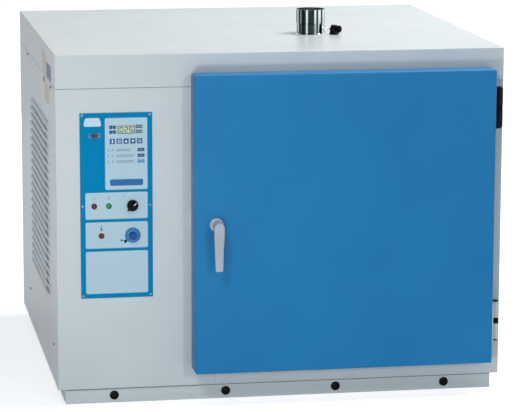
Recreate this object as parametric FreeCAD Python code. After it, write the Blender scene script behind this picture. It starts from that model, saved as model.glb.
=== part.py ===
import FreeCAD, Part
import math
import os

# Convection drying oven on a low plinth, in millimetres.
# The origin is on the floor under the middle of the casing. +X is to the right of a person
# facing the door, +Y is to the back and +Z is up. The door faces -Y.

V = FreeCAD.Vector
X_AXIS = V(1, 0, 0)
Y_AXIS = V(0, 1, 0)
Z_AXIS = V(0, 0, 1)

# Overall size of the casing, without plinth, door and flue
body_width = 1170.0
body_depth = 1060.0
body_height = 870.0

# Sheet metal
casing_sheet = 1.5
liner_sheet = 1.0
fold_depth = 16.0
bend_radius = 3.0
seam_radius = 1.4
side_seam_fold = 7.0
lip_height = 18.0

# Plinth
plinth_height = 40.0
plinth_sheet = 2.0
plinth_side_inset = 20.0
plinth_front_inset = 8.0
plinth_lip = 14.0
tie_width = 60.0
plug_count = 4
plug_end_inset = 126.0
plug_height = 20.0
plug_hole_radius = 9.0
plug_cap_radius = 12.0
plug_cap_height = 3.0
plug_stem_length = 8.0

# Front of the casing: what lies round the chamber's mouth
column_width = 410.0
stile_width = 92.0
sill_height = 76.0
header_height = 86.0
flange_width = 24.0
corner_radius = 10.0
throat_depth = 42.0

# Spaces behind the mouth
plenum_depth = 90.0
side_insulation = 60.0
rear_insulation = 80.0
rear_void = 120.0

# Louvres of the left side panel
louvre_count = 22
louvre_pitch = 21.7
louvre_length = 470.0
louvre_radius = 8.0
louvre_top_drop = 200.0

# Door
door_gap = 14.0
door_depth = 58.0
door_left_overlap = 64.0
door_right_overlap = 56.0
door_top_overlap = 37.0
door_bottom_overlap = 31.0
door_sheet = 1.5
door_edge_radius = 4.0
door_corner_radius = 10.0
door_hinge_corner_radius = 4.0
door_return = 14.0
panel_border = 6.0
plug_clearance = 14.0
plug_draft = 5.0
plug_reach = 1.0
plug_corner_radius = 34.0

# Door seal
seal_offset = 6.0
seal_width = 12.0
seal_base = 3.0
seal_closing_gap = 0.3
seal_corner_radius = 22.0

# Hinges
hinge_axis_inset = 17.0
hinge_axis_front = 25.0
hinge_end_distance = 105.0
hinge_height = 100.0
knuckle_radius = 10.0
knuckle_length = 42.0
hinge_pin_radius = 5.0
hinge_leaf = 3.0
casing_leaf_half_width = 15.0
door_leaf_depth = 46.0
door_leaf_inset = 7.0
hinge_web = 14.0
hinge_cap_radius = 7.5
hinge_cap_height = 4.0

# Door handle and latch
handle_inset = 56.0
handle_rise = 4.0
rosette_radius = 18.0
rosette_height = 9.0
spindle_radius = 6.0
neck_radius = 11.0
lever_standoff = 42.0
lever_head_radius = 13.5
lever_thickness = 14.0
lever_length = 112.0
lever_tip_width = 19.5
lever_tip_thickness = 10.0
lever_round = 4.0
lever_tip_round = 2.0
cam_reach = 30.0
cam_half_width = 6.0
cam_thickness = 4.0
cam_clearance = 3.0
keeper_sheet = 2.0
keeper_height = 11.5
keeper_length = 32.0
keeper_half_width = 16.0
keeper_door_margin = 3.0

# Fit clearances
running_clearance = 0.05
hole_clearance = 0.3
slide_clearance = 0.5
seat_clearance = 0.02

# Shelves and their ladders
shelf_first_height = 90.0
shelf_pitch = 115.0
shelf_used_levels = (1, 3)
rail_depth = 16.0
rail_height = 9.0
rail_sheet = 1.5
rail_front_inset = 12.0
rail_back_inset = 30.0
upright_width = 20.0
upright_sheet = 2.0
upright_inset = 110.0
upright_below = 45.0
upright_above = 45.0
shelf_ring_radius = 4.0
shelf_cross_radius = 3.0
shelf_cross_bars = 2
shelf_wire_radius = 2.0
shelf_wire_rise = 1.5
shelf_wire_count = 15
shelf_corner_radius = 20.0
shelf_side_gap = 2.0
shelf_front_gap = 10.0

# Fan
impeller_radius = 125.0
impeller_inlet_radius = 82.0
impeller_width = 50.0
impeller_sheet = 1.5
impeller_wall_gap = 14.0
blade_count = 20
blade_inner_radius = 80.0
blade_outer_radius = 121.0
blade_sheet = 1.5
blade_sweep = 14.0
blade_bow = 5.0
hub_radius = 16.0
hub_length = 34.0
shaft_radius = 6.0
shaft_hole_radius = 11.0
shaft_in_motor = 45.0
collar_radius = 10.0
motor_radius = 62.0
motor_length = 130.0
motor_standoff = 30.0
mount_plate = 3.0
mount_half_width = 80.0
mount_spacer_radius = 7.0
mount_spacer_offset = 66.0

# Air diffuser between chamber and fan space
diffuser_sheet = 1.2
diffuser_slot_length = 60.0
diffuser_slot_radius = 4.0
diffuser_slot_margin = 60.0
diffuser_slot_columns = 2
diffuser_slot_pitch = 64.0
diffuser_column_pitch = 84.0
diffuser_edge = 62.0
grille_spokes = 12
grille_ring_radii = ((26.0, 51.0), (56.0, 80.0))
grille_spoke_half_width = 3.0

# Heating elements and chamber probes
heater_tube_radius = 4.2
heater_ring_radius = 150.0
heater_bend_radius = 16.0
heater_gap_degrees = (9.0, 20.0)
heater_wall_distances = (62.0, 30.0)
heater_leg_reach = 26.0
probe_radius = 3.0
probe_length_in_chamber = 55.0
probe_head_radius = 9.0
probe_head_length = 24.0
probe_heights = (60.0, 90.0)
probe_front_inset = 120.0

# Flue and damper
flue_radius = 39.0
flue_swage = 1.0
flue_spigot_length = 37.0
flue_sheet = 1.5
flue_height = 66.0
flue_rim_width = 5.0
flue_rim_height = 2.4
flue_setback = 387.0
flue_side_offset = -11.0
damper_height = 15.0
damper_shaft_radius = 3.0
damper_blade_sheet = 1.5
damper_blade_gap = 0.6
damper_azimuth = -35.0
damper_bracket_gap = 24.0
damper_bracket_length = 14.0
damper_bracket_half_width = 15.0
damper_bracket_top_radius = 11.0
damper_knob_radius = 10.0
damper_knob_length = 14.0
damper_knob_lobes = 5

# Control panel
plate_centre_offset = 13.0
plate_top_drop = 62.5
plate_width = 186.0
plate_height = 481.0
plate_sheet = 2.0
overlay_sheet = 0.4
overlay_radius = 4.0
overlay_left = 13.0
overlay_right = 173.0
display_overlay_left = 64.5
display_overlay = (13.5, 198.5)
switch_overlay = (205.5, 274.5)
limit_overlay = (282.5, 350.5)
blank_overlay = (358.5, 469.0)
screw_edge = 6.0
lcd_place = (119.0, 44.0)
lcd_size = (43.0, 20.0)
key_count = 5
key_pitch = 17.5
key_row = (118.5, 73.5)
key_size = 13.0
key_proud = 1.2
key_round = 0.8
key_travel = 0.8
lamp_radius = 7.5
lamp_body_radius = 5.5
lamp_rim = 2.0
lamp_dome = 4.0
lamp_depth = 24.0
power_lamp_place = (35.5, 240.5)
heating_lamp_place = (73.0, 240.5)
limit_lamp_place = (53.5, 318.0)
selector_place = (134.0, 240.5)
limit_dial_place = (134.0, 318.0)
socket_place = (37.5, 58.0)
bushing_radius = 5.0
control_shaft_radius = 3.0
control_shaft_depth = 22.0
switch_body_size = 46.0
switch_body_depth = 52.0
thermostat_body_radius = 27.0
thermostat_body_depth = 44.0
selector_skirt_radius = 14.5
selector_skirt_height = 5.0
selector_grip_height = 16.0
selector_grip_half_width = 4.5
selector_tail = 19.0
selector_nose = 13.0
selector_angle = 45.0
dial_skirt_radius = 20.0
dial_skirt_height = 4.0
dial_hub_radius = 10.5
dial_hub_height = 18.0
dial_flutes = 10
board_width = 120.0
board_height = 96.0
board_sheet = 1.6
board_standoff = 8.5
board_post_radius = 3.0
board_post_inset = 6.0
display_cutout = (104.0, 72.0)
display_cutout_centre = (118.5, 57.0)
socket_flange = (30.8, 12.5)
socket_flange_sheet = 0.8
socket_shell = (17.0, 8.4)
socket_shell_reach = 5.5
socket_body = (19.0, 10.6)
socket_body_depth = 12.0
socket_screw_offset = 12.5
socket_screw_radius = 2.4

# Screws
screw_radius = 2.0
screw_head_radius = 4.2
screw_head_height = 2.2
panel_screw_head_radius = 3.0
panel_screw_head_height = 1.5
screw_length = 8.0
side_screw_front = 110.0
side_screw_rear = 255.0
side_screw_drop = 9.0
side_screw_bottom = 97.0
rear_screw_inset = 30.0

# Electrical compartment and cable entry
terminal_count = 8
terminal_pitch = 14.0
terminal_block_depth = 26.0
terminal_block_height = 34.0
terminal_rear_inset = 160.0
terminal_floor_height = 160.0
gland_side_inset = 105.0
gland_floor_height = 110.0
gland_bore_radius = 6.5
gland_thread_radius = 10.0
gland_nut_radius = 13.5
gland_outer_length = 26.0
gland_inner_length = 12.0

# Planes of the casing, worked out from the sizes above
left = -body_width / 2
right = body_width / 2
front = -body_depth / 2
back = body_depth / 2
base = plinth_height
top = base + body_height
inner_left = left + casing_sheet
inner_right = right - casing_sheet
inner_front = front + casing_sheet
inner_back = back - casing_sheet
inner_base = base + casing_sheet
inner_top = top - casing_sheet

# Mouth of the chamber and the flange round it
flange_left = left + column_width
flange_right = right - stile_width
flange_bottom = base + sill_height
flange_top = top - header_height
mouth_left = flange_left + flange_width
mouth_right = flange_right - flange_width
mouth_bottom = flange_bottom + flange_width
mouth_top = flange_top - flange_width

# Shelf levels and slot rows that the height of the mouth has room for
shelf_room = mouth_top - mouth_bottom - shelf_first_height - upright_above
shelf_levels = int(shelf_room // shelf_pitch) + 1
slot_room = mouth_top - mouth_bottom - 2 * (corner_radius + diffuser_slot_margin)
diffuser_slot_rows = int(slot_room // diffuser_slot_pitch) + 1

# Chamber liner, insulation and bulkhead
liner_front = front + throat_depth
bulkhead_back = back - rear_void
liner_outer_back = bulkhead_back - rear_insulation
liner_back = liner_outer_back - liner_sheet
liner_left = mouth_left - plenum_depth
liner_outer_left = liner_left - liner_sheet
insulation_left = liner_outer_left - side_insulation
insulation_front = front + fold_depth
insulation_right = right - screw_length - 1.0
diffuser_face = mouth_left
fan_y = (liner_front + liner_back) / 2
fan_z = (mouth_bottom + mouth_top) / 2

# Door and hinge planes
door_left = flange_left - door_left_overlap
door_right = flange_right + door_right_overlap
door_bottom = flange_bottom - door_bottom_overlap
door_top = flange_top + door_top_overlap
door_back = front - door_gap
door_front = door_back - door_depth
hinge_x = right - hinge_axis_inset
hinge_y = front - hinge_axis_front
hinge_bottoms = (
    door_bottom + hinge_end_distance - hinge_height / 2,
    door_top - hinge_end_distance - hinge_height / 2,
)
handle_x = door_left + handle_inset
handle_z = (door_bottom + door_top) / 2 + handle_rise
lever_y = door_front - lever_standoff - lever_thickness / 2
cam_back = front - cam_clearance

# Flue, plinth and control plate places
flue_x = (mouth_left + mouth_right) / 2 + flue_side_offset
flue_y = front + flue_setback
flue_neck_radius = flue_radius - flue_swage
damper_z = top + damper_height
plinth_left = left + plinth_side_inset
plinth_right = right - plinth_side_inset
plinth_front = front + plinth_front_inset
plinth_back = back - plinth_side_inset
plate_left = (left + insulation_left) / 2 + plate_centre_offset - plate_width / 2
plate_top = flange_top - plate_top_drop
plate_face = front - plate_sheet
overlay_face = plate_face - overlay_sheet
board_front = inner_front + board_standoff


# Small makers


def box(x0, x1, y0, y1, z0, z1):
    return Part.makeBox(x1 - x0, y1 - y0, z1 - z0, V(x0, y0, z0))


def rod(radius, start, end):
    start = V(*start)
    along = V(*end) - start
    return Part.makeCylinder(radius, along.Length, start, along)


def tube(outer_radius, inner_radius, start, end):
    return rod(outer_radius, start, end).cut(rod(inner_radius, start, end))


def edges_along(shape, axis):
    """Straight edges of a shape that run along an axis."""
    picked = []
    for edge in shape.Edges:
        if isinstance(edge.Curve, Part.Line):
            direction = edge.tangentAt(edge.FirstParameter)
            if abs(abs(direction.dot(axis)) - 1) < 1e-6:
                picked.append(edge)
    return picked


def edges_on_plane(shape, axis, place):
    """Edges of a shape that lie in the plane where the coordinate along axis is place."""
    return [e for e in shape.Edges if all(abs(v.Point.dot(axis) - place) < 1e-6 for v in e.Vertexes)]


def rounded_wire(x0, x1, z0, z1, y, radius):
    """Rectangle with round corners in a plane across Y."""
    middle = radius * (1 - math.sqrt(0.5))
    corners = [
        (V(x0 + radius, y, z0), V(x1 - radius, y, z0), V(x1 - middle, y, z0 + middle)),
        (V(x1, y, z0 + radius), V(x1, y, z1 - radius), V(x1 - middle, y, z1 - middle)),
        (V(x1 - radius, y, z1), V(x0 + radius, y, z1), V(x0 + middle, y, z1 - middle)),
        (V(x0, y, z1 - radius), V(x0, y, z0 + radius), V(x0 + middle, y, z0 + middle)),
    ]
    edges = []
    for index, (start, end, bend) in enumerate(corners):
        after = corners[(index + 1) % 4][0]
        edges.append(Part.LineSegment(start, end).toShape())
        edges.append(Part.Arc(end, bend, after).toShape())
    return Part.Wire(edges)


def rounded_slab(x0, x1, z0, z1, y0, y1, radius):
    """Plate or block across Y with round corners."""
    return Part.Face(rounded_wire(x0, x1, z0, z1, y0, radius)).extrude(V(0, y1 - y0, 0))


def turned(profile, origin, direction):
    """Solid turned from (radius, height) points about an axis from origin along direction.

    A profile entry with four numbers is an arc through its first pair to its second pair.
    """
    edges = []
    start = profile[0]
    for entry in profile[1:] + [profile[0]]:
        here = V(start[0], 0, start[1])
        if len(entry) == 4:
            end = (entry[2], entry[3])
            edges.append(Part.Arc(here, V(entry[0], 0, entry[1]), V(end[0], 0, end[1])).toShape())
        else:
            end = entry
            edges.append(Part.LineSegment(here, V(end[0], 0, end[1])).toShape())
        start = end
    solid = Part.Face(Part.Wire(edges)).revolve(V(0, 0, 0), Z_AXIS, 360)
    solid.Placement = FreeCAD.Placement(V(*origin), FreeCAD.Rotation(Z_AXIS, V(*direction)))
    return solid


def dome(radius, low, high):
    """Profile entry for a spherical dome that rises from low at a radius to high on the axis."""
    rise = high - low
    ball = (radius * radius + rise * rise) / (2 * rise)
    half_angle = math.asin(radius / ball) / 2
    return (ball * math.sin(half_angle), high - ball + ball * math.cos(half_angle), 0, high)


def obround(length, radius, centre, depth):
    """Slot-shaped bar along X through a sheet: it lies along Y and is pushed out along +X."""
    y0 = centre[1] - length / 2 + radius
    y1 = centre[1] + length / 2 - radius
    x, z = centre[0], centre[2]
    edges = [
        Part.LineSegment(V(x, y0, z - radius), V(x, y1, z - radius)).toShape(),
        Part.Arc(V(x, y1, z - radius), V(x, y1 + radius, z), V(x, y1, z + radius)).toShape(),
        Part.LineSegment(V(x, y1, z + radius), V(x, y0, z + radius)).toShape(),
        Part.Arc(V(x, y0, z + radius), V(x, y0 - radius, z), V(x, y0, z - radius)).toShape(),
    ]
    return Part.Face(Part.Wire(edges)).extrude(V(depth, 0, 0))


def polar(centre_y, centre_z, radius, degrees):
    """Height and depth of a point on a circle round the fan's axis, from straight up."""
    angle = math.radians(degrees)
    return centre_y + radius * math.sin(angle), centre_z + radius * math.cos(angle)


def on_plate(place):
    """X and Z of a place on the control plate, given from its top left corner."""
    return plate_left + place[0], plate_top - place[1]


def screw(origin, outward, head_radius, head_height):
    """Domed screw whose head seats at origin and whose shank runs inward."""
    profile = [
        (0, -screw_length),
        (screw_radius, -screw_length),
        (screw_radius, 0),
        (head_radius, 0),
        dome(head_radius, 0, head_height),
    ]
    return turned(profile, origin, outward)


def casing_screw(origin, outward):
    return screw(origin, outward, screw_head_radius, screw_head_height)


def panel_screw(origin):
    return screw(origin, (0, -1, 0), panel_screw_head_radius, panel_screw_head_height)


def screw_hole(origin, outward):
    """Hole through the sheets under a screw's head."""
    start = V(*origin) + V(*outward)
    end = V(*origin) - V(*outward) * (screw_length + 1.0)
    return rod(screw_radius + hole_clearance, start, end)


# Places that several pieces share


def side_screw_places(x):
    """Four corner screws of a side panel whose outer face is at x."""
    return [
        (x, y, z)
        for y in (front + side_screw_front, back - side_screw_rear)
        for z in (base + side_screw_bottom, flange_top - side_screw_drop)
    ]


def rear_screw_places():
    return [
        (x, back, z)
        for x in (left + rear_screw_inset, 0, right - rear_screw_inset)
        for z in (base + rear_screw_inset, top - rear_screw_inset)
    ]


def panel_screw_places():
    return [
        (x, plate_face, plate_top - drop)
        for x in (plate_left + screw_edge, plate_left + plate_width - screw_edge)
        for drop in (screw_edge, plate_height / 2, plate_height - screw_edge)
    ]


def plug_places():
    first = plinth_left + plug_end_inset
    step = (plinth_right - plug_end_inset - first) / (plug_count - 1)
    return [(first + step * index, plug_height) for index in range(plug_count)]


def heater_rings():
    """Ring plane, gap angle and leg places of each heating element."""
    rings = []
    for gap, distance in zip(heater_gap_degrees, heater_wall_distances):
        legs = []
        for side in (1, -1):
            y, z = polar(fan_y, fan_z, heater_ring_radius, 180 - side * gap)
            angle = math.radians(180 - side * gap)
            along_y = side * math.cos(angle)
            along_z = -side * math.sin(angle)
            legs.append((y + heater_bend_radius * along_y, z + heater_bend_radius * along_z))
        rings.append((liner_left + distance, gap, legs))
    return rings


def heater_leg_places():
    return [leg for ring in heater_rings() for leg in ring[2]]


def probe_places():
    y = liner_front + probe_front_inset
    return [(y, mouth_top - drop) for drop in probe_heights]


def key_places():
    """Centres of the keys, from left to right."""
    first = key_row[0] - key_pitch * (key_count - 1) / 2
    return [on_plate((first + key_pitch * index, key_row[1])) for index in range(key_count)]


def wall_passages(grow):
    """Rods for what passes through the left wall of the chamber, from the fan space outward."""
    x0 = insulation_left - casing_sheet - 1.0
    x1 = liner_left + 1.0
    passages = [rod(shaft_hole_radius, (x0, fan_y, fan_z), (x1, fan_y, fan_z))]
    for y, z in heater_leg_places():
        passages.append(rod(heater_tube_radius + grow, (x0, y, z), (x1, y, z)))
    for y, z in probe_places():
        passages.append(rod(probe_radius + grow, (x0, y, z), (x1, y, z)))
    return passages


# Plinth


def plinth():
    """Welded frame of folded channels with a box-shaped tie across the middle that carries the origin."""
    sheet, lip = plinth_sheet, plinth_lip
    x0, x1, y0, y1 = plinth_left, plinth_right, plinth_front, plinth_back
    low, high = sheet, plinth_height - sheet
    side_front, side_back = y0 + lip, y1 - lip
    half = tie_width / 2
    rails = [
        box(x0, x1, y0, side_front, 0, plinth_height),
        box(x0, x1, side_back, y1, 0, plinth_height),
        box(x0, x0 + lip, side_front, side_back, 0, plinth_height),
        box(x1 - lip, x1, side_front, side_back, 0, plinth_height),
        box(-half, half, side_front, side_back, 0, plinth_height),
    ]
    hollows = [
        box(x0 + sheet, x1 - sheet, y0 + sheet, side_front + 1, low, high),
        box(x0 + sheet, x1 - sheet, side_back - 1, y1 - sheet, low, high),
        box(x0 + sheet, x0 + lip + 1, side_front - 1, side_back + 1, low, high),
        box(x1 - lip - 1, x1 - sheet, side_front - 1, side_back + 1, low, high),
        box(-half + sheet, half - sheet, side_front - 1, side_back + 1, low, high),
    ]
    channels = [rail.cut(hollow) for rail, hollow in zip(rails, hollows)]
    holes = [rod(plug_hole_radius, (x, y0 - 1, z), (x, y0 + sheet + 1, z)) for x, z in plug_places()]
    return Part.makeCompound([channels[0].cut(holes)] + channels[1:])


def plinth_plugs():
    """Push-in caps that close the round holes in the plinth's front."""
    stem = plug_hole_radius - hole_clearance
    profile = [
        (0, -plug_stem_length),
        (stem, -plug_stem_length),
        (stem, 0),
        (plug_cap_radius, 0),
        (plug_cap_radius, plug_cap_height * 0.4),
        dome(plug_cap_radius, plug_cap_height * 0.4, plug_cap_height),
    ]
    return Part.makeCompound([turned(profile, (x, plinth_front, z), (0, -1, 0)) for x, z in plug_places()])


# Casing


def base_pan():
    return box(inner_left, inner_right, inner_front, inner_back, base, inner_base)


def top_cover():
    """Lid with a deep skirt on the front and both sides that is folded in at its lower edge."""
    sheet = casing_sheet
    cover = box(left, right, front, back, inner_top, top)
    skirts = [
        box(left, right, front, inner_front, flange_top, top),
        box(left, inner_left, front, inner_back, flange_top, top),
        box(inner_right, right, front, inner_back, flange_top, top),
    ]
    fold_left, fold_right = inner_left + fold_depth, inner_right - fold_depth
    fold_front, fold_back = front + fold_depth, inner_back - fold_depth
    fold_top = flange_top + sheet
    folds = [
        box(fold_left, fold_right, front, fold_front, flange_top, fold_top),
        box(left, left + side_seam_fold, fold_front, fold_back, flange_top, fold_top),
        box(right - side_seam_fold, right, fold_front, fold_back, flange_top, fold_top),
        box(fold_left, fold_right, inner_back - sheet, inner_back, inner_top - lip_height, top),
    ]
    cover = cover.fuse(skirts + folds).removeSplitter()
    for height, radius in ((top, bend_radius), (flange_top, seam_radius)):
        edges = []
        for axis, place in ((Y_AXIS, front), (X_AXIS, left), (X_AXIS, right)):
            rim = edges_on_plane(cover, axis, place)
            edges += [e for e in rim if abs(e.CenterOfMass.z - height) < 1e-6]
        cover = cover.makeFillet(radius, edges)
    hole_radius = flue_neck_radius + hole_clearance
    flue_hole = rod(hole_radius, (flue_x, flue_y, inner_top - 1), (flue_x, flue_y, top + 1))
    return cover.cut(flue_hole)


def side_sheet(outer, inward):
    """Side wall below the lid's skirt, with a folded return at its front, back and top edge."""
    sheet = casing_sheet
    skin = outer + inward * sheet
    turn = outer + inward * fold_depth
    seam_turn = outer + inward * side_seam_fold
    low, high = min(outer, turn), max(outer, turn)
    wall = box(min(outer, skin), max(outer, skin), inner_front, inner_back, base, flange_top)
    fold_front, fold_back = front + fold_depth, inner_back - fold_depth
    fold_bottom = flange_top - sheet
    returns = [
        box(low, high, inner_front, inner_front + sheet, inner_base, fold_bottom),
        box(low, high, inner_back - sheet, inner_back, inner_base, fold_bottom),
        box(min(outer, seam_turn), max(outer, seam_turn), fold_front, fold_back, fold_bottom, flange_top),
    ]
    wall = wall.fuse(returns).removeSplitter()
    seam = [e for e in edges_on_plane(wall, X_AXIS, outer) if abs(e.CenterOfMass.z - flange_top) < 1e-6]
    wall = wall.makeFillet(seam_radius, seam)
    holes = [screw_hole(place, (-inward, 0, 0)) for place in side_screw_places(outer)]
    return wall.cut(holes)


def capsule(radius, length, x, y, z):
    """Round bar along Y with ball ends."""
    reach = length / 2 - radius
    bar = rod(radius, (x, y - reach, z), (x, y + reach, z))
    balls = [Part.makeSphere(radius, V(x, y + side * reach, z)) for side in (-1, 1)]
    return bar.fuse(balls)


def left_side_panel():
    """Side wall with a stack of pressed louvres whose mouths look down."""
    first_mouth = top - louvre_top_drop - louvre_radius
    inner_radius = louvre_radius - casing_sheet
    reach = louvre_radius + 1.0
    y0 = fan_y - louvre_length / 2 - 1.0
    y1 = fan_y + louvre_length / 2 + 1.0
    outside = box(left - reach, left + casing_sheet, y0, y1, first_mouth, first_mouth + reach)
    hood = capsule(louvre_radius, louvre_length, left, fan_y, first_mouth).common(outside)
    hollow_length = louvre_length - 2 * casing_sheet
    hollow = capsule(inner_radius, hollow_length, left, fan_y, first_mouth).common(outside)
    drops = [V(0, 0, -louvre_pitch * index) for index in range(louvre_count)]
    hoods = [hood.translated(drop) for drop in drops]
    hollows = [hollow.translated(drop) for drop in drops]
    return side_sheet(left, 1).fuse(hoods).removeSplitter().cut(hollows)


def right_side_panel():
    return side_sheet(right, -1)


def rear_panel():
    """Back wall with the hole for the cable gland."""
    wall = box(left, right, inner_back, back, base, inner_top)
    gland_x, gland_z = left + gland_side_inset, base + gland_floor_height
    hole_radius = gland_thread_radius + hole_clearance
    gland_hole = rod(hole_radius, (gland_x, inner_back - 1, gland_z), (gland_x, back + 1, gland_z))
    holes = [screw_hole(place, (0, 1, 0)) for place in rear_screw_places()]
    return wall.cut(holes + [gland_hole])


def front_sheet(x0, x1, z0, z1, left_fold, right_fold, top_fold):
    """Flat front panel with soft edges and returns where it is folded in."""
    sheet = casing_sheet
    z_fold = max(z0, inner_base)
    parts = [box(x0, x1, front, inner_front, z0, z1)]
    if left_fold:
        parts.append(box(x0, x0 + sheet, front, front + fold_depth, z_fold, z1))
    if right_fold:
        parts.append(box(x1 - sheet, x1, front, front + fold_depth, z_fold, z1))
    if top_fold:
        fold_left = max(x0, inner_left + fold_depth)
        fold_right = min(x1, inner_right - fold_depth)
        parts.append(box(fold_left, fold_right, front, front + fold_depth, z1 - sheet, z1))
    panel = parts[0].fuse(parts[1:]).removeSplitter()
    return panel.makeFillet(seam_radius, edges_on_plane(panel, Y_AXIS, front))


def front_column_panel():
    """Wide panel left of the mouth, pierced for what the control plate carries."""
    panel = front_sheet(left, flange_left, base, flange_top, False, True, True)
    x, z = on_plate(display_cutout_centre)
    half_x, half_z = display_cutout[0] / 2, display_cutout[1] / 2
    y0, y1 = front - 1, inner_front + 1
    board_hole = box(x - half_x, x + half_x, y0, y1, z - half_z, z + half_z)
    return panel.cut(fitting_holes(y0, y1) + [board_hole])


def front_sill_panel():
    return front_sheet(flange_left, flange_right, base, flange_bottom, True, True, True)


def front_stile_panel():
    return front_sheet(flange_right, right, base, flange_top, True, False, True)


def throat_frame():
    """Flange round the mouth, drawn back into a sleeve that meets the liner."""
    sheet = liner_sheet
    flange = box(flange_left, flange_right, front, front + sheet, flange_bottom, flange_top)
    sleeve = rounded_slab(
        mouth_left - sheet, mouth_right + sheet, mouth_bottom - sheet, mouth_top + sheet,
        front, liner_front, corner_radius + sheet,
    )
    mouth = rounded_slab(
        mouth_left, mouth_right, mouth_bottom, mouth_top, front - 1, liner_front + 1, corner_radius
    )
    return flange.fuse(sleeve).cut(mouth).removeSplitter()


# Chamber


def chamber_liner():
    """Stainless box with round long corners, wider than the mouth by the fan space on its left."""
    sheet = liner_sheet
    outer = box(
        liner_outer_left, mouth_right + sheet, liner_front, liner_outer_back,
        mouth_bottom - sheet, mouth_top + sheet,
    )
    outer = outer.makeFillet(corner_radius + sheet, edges_along(outer, Y_AXIS))
    inner = box(liner_left, mouth_right, liner_front + sheet, liner_back, mouth_bottom, mouth_top)
    inner = inner.makeFillet(corner_radius, edges_along(inner, Y_AXIS))
    mouth = rounded_slab(
        mouth_left, mouth_right, mouth_bottom, mouth_top,
        liner_front - 1, liner_front + sheet + 1, corner_radius,
    )
    flue_inner = flue_neck_radius - flue_sheet
    flue_hole = rod(flue_inner, (flue_x, flue_y, mouth_top - 1), (flue_x, flue_y, mouth_top + sheet + 1))
    return outer.cut([inner, mouth, flue_hole] + wall_passages(hole_clearance))


def insulation_slabs():
    """Mineral wool slabs on the floor, roof, right, back and left of the liner."""
    liner_right = mouth_right + liner_sheet
    liner_bottom = mouth_bottom - liner_sheet
    liner_top = mouth_top + liner_sheet
    y0 = insulation_front
    floor = box(insulation_left, insulation_right, y0, bulkhead_back, inner_base, liner_bottom)
    roof = box(insulation_left, insulation_right, y0, bulkhead_back, liner_top, inner_top - lip_height)
    hole_radius = flue_neck_radius + hole_clearance
    roof = roof.cut(rod(hole_radius, (flue_x, flue_y, liner_top - 1), (flue_x, flue_y, inner_top)))
    right_slab = box(liner_right, insulation_right, y0, bulkhead_back, liner_bottom, liner_top)
    rear_slab = box(insulation_left, liner_right, liner_outer_back, bulkhead_back, liner_bottom, liner_top)
    left_slab = box(insulation_left, liner_outer_left, y0, liner_outer_back, liner_bottom, liner_top)
    corner_block = box(liner_outer_left, mouth_left - liner_sheet, y0, liner_front, liner_bottom, liner_top)
    left_slab = left_slab.fuse(corner_block).removeSplitter().cut(wall_passages(hole_clearance))
    return Part.makeCompound([floor, roof, right_slab, rear_slab, left_slab])


def insulation_bulkhead():
    """Folded sheet that holds the wool back on the left and at the rear."""
    sheet = casing_sheet
    z1 = inner_top - lip_height
    x0, y1 = insulation_left, bulkhead_back + sheet
    left_leg = box(x0 - sheet, x0, insulation_front, y1, inner_base, z1)
    rear_leg = box(x0, insulation_right, bulkhead_back, y1, inner_base, z1)
    return left_leg.fuse(rear_leg).removeSplitter().cut(wall_passages(hole_clearance))


def grille_windows():
    """Openings between the rings and spokes of the fan's inlet grille."""
    windows = []
    x0 = diffuser_face - diffuser_sheet - 1.0
    x1 = diffuser_face + 1.0
    step = 360.0 / grille_spokes
    for inner_radius, outer_radius in grille_ring_radii:
        ring = tube(outer_radius, inner_radius, (x0, fan_y, fan_z), (x1, fan_y, fan_z))
        spokes = []
        for index in range(grille_spokes // 2):
            half, reach = grille_spoke_half_width, outer_radius + 1
            bar = box(x0 - 1, x1 + 1, fan_y - half, fan_y + half, fan_z - reach, fan_z + reach)
            bar.rotate(V(0, fan_y, fan_z), X_AXIS, step * index)
            spokes.append(bar)
        windows.append(ring.cut(spokes))
    return windows


def air_diffuser():
    """Perforated wall between chamber and fan space, with the fan's inlet grille in the middle."""
    x0 = diffuser_face - diffuser_sheet
    wall = box(
        x0, diffuser_face, liner_front + liner_sheet, liner_back,
        mouth_bottom + corner_radius, mouth_top - corner_radius,
    )
    slots = []
    first_z = fan_z - diffuser_slot_pitch * (diffuser_slot_rows - 1) / 2
    for side, edge in ((1, liner_front), (-1, liner_back)):
        for column in range(diffuser_slot_columns):
            y = edge + side * (diffuser_edge + diffuser_column_pitch * column)
            for row in range(diffuser_slot_rows):
                centre = (x0 - 1, y, first_z + diffuser_slot_pitch * row)
                depth = diffuser_sheet + 2
                slots.append(obround(diffuser_slot_length, diffuser_slot_radius, centre, depth))
    return wall.cut(slots + grille_windows())


def rail_tops():
    return [mouth_bottom + shelf_first_height + shelf_pitch * level for level in range(shelf_levels)]


def shelf_ladder(wall_x, inward):
    """Two uprights on a chamber wall and a ledge at each level, its edge folded down."""
    rail_front = liner_front + rail_front_inset
    rail_back = liner_back - rail_back_inset
    seat = wall_x + inward * upright_sheet
    tip = seat + inward * rail_depth
    fold = tip - inward * rail_sheet
    z0 = rail_tops()[0] - upright_below
    z1 = rail_tops()[-1] + upright_above
    half = upright_width / 2
    pieces = []
    for y in (rail_front + upright_inset, rail_back - upright_inset):
        pieces.append(box(min(wall_x, seat), max(wall_x, seat), y - half, y + half, z0, z1))
    for z in rail_tops():
        ledge = box(min(seat, tip), max(seat, tip), rail_front, rail_back, z - rail_sheet, z)
        edge = box(min(fold, tip), max(fold, tip), rail_front, rail_back, z - rail_height, z)
        pieces.append(ledge.fuse(edge).removeSplitter())
    return pieces


def shelf_ladders():
    return Part.makeCompound(shelf_ladder(diffuser_face, 1) + shelf_ladder(mouth_right, -1))


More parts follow.
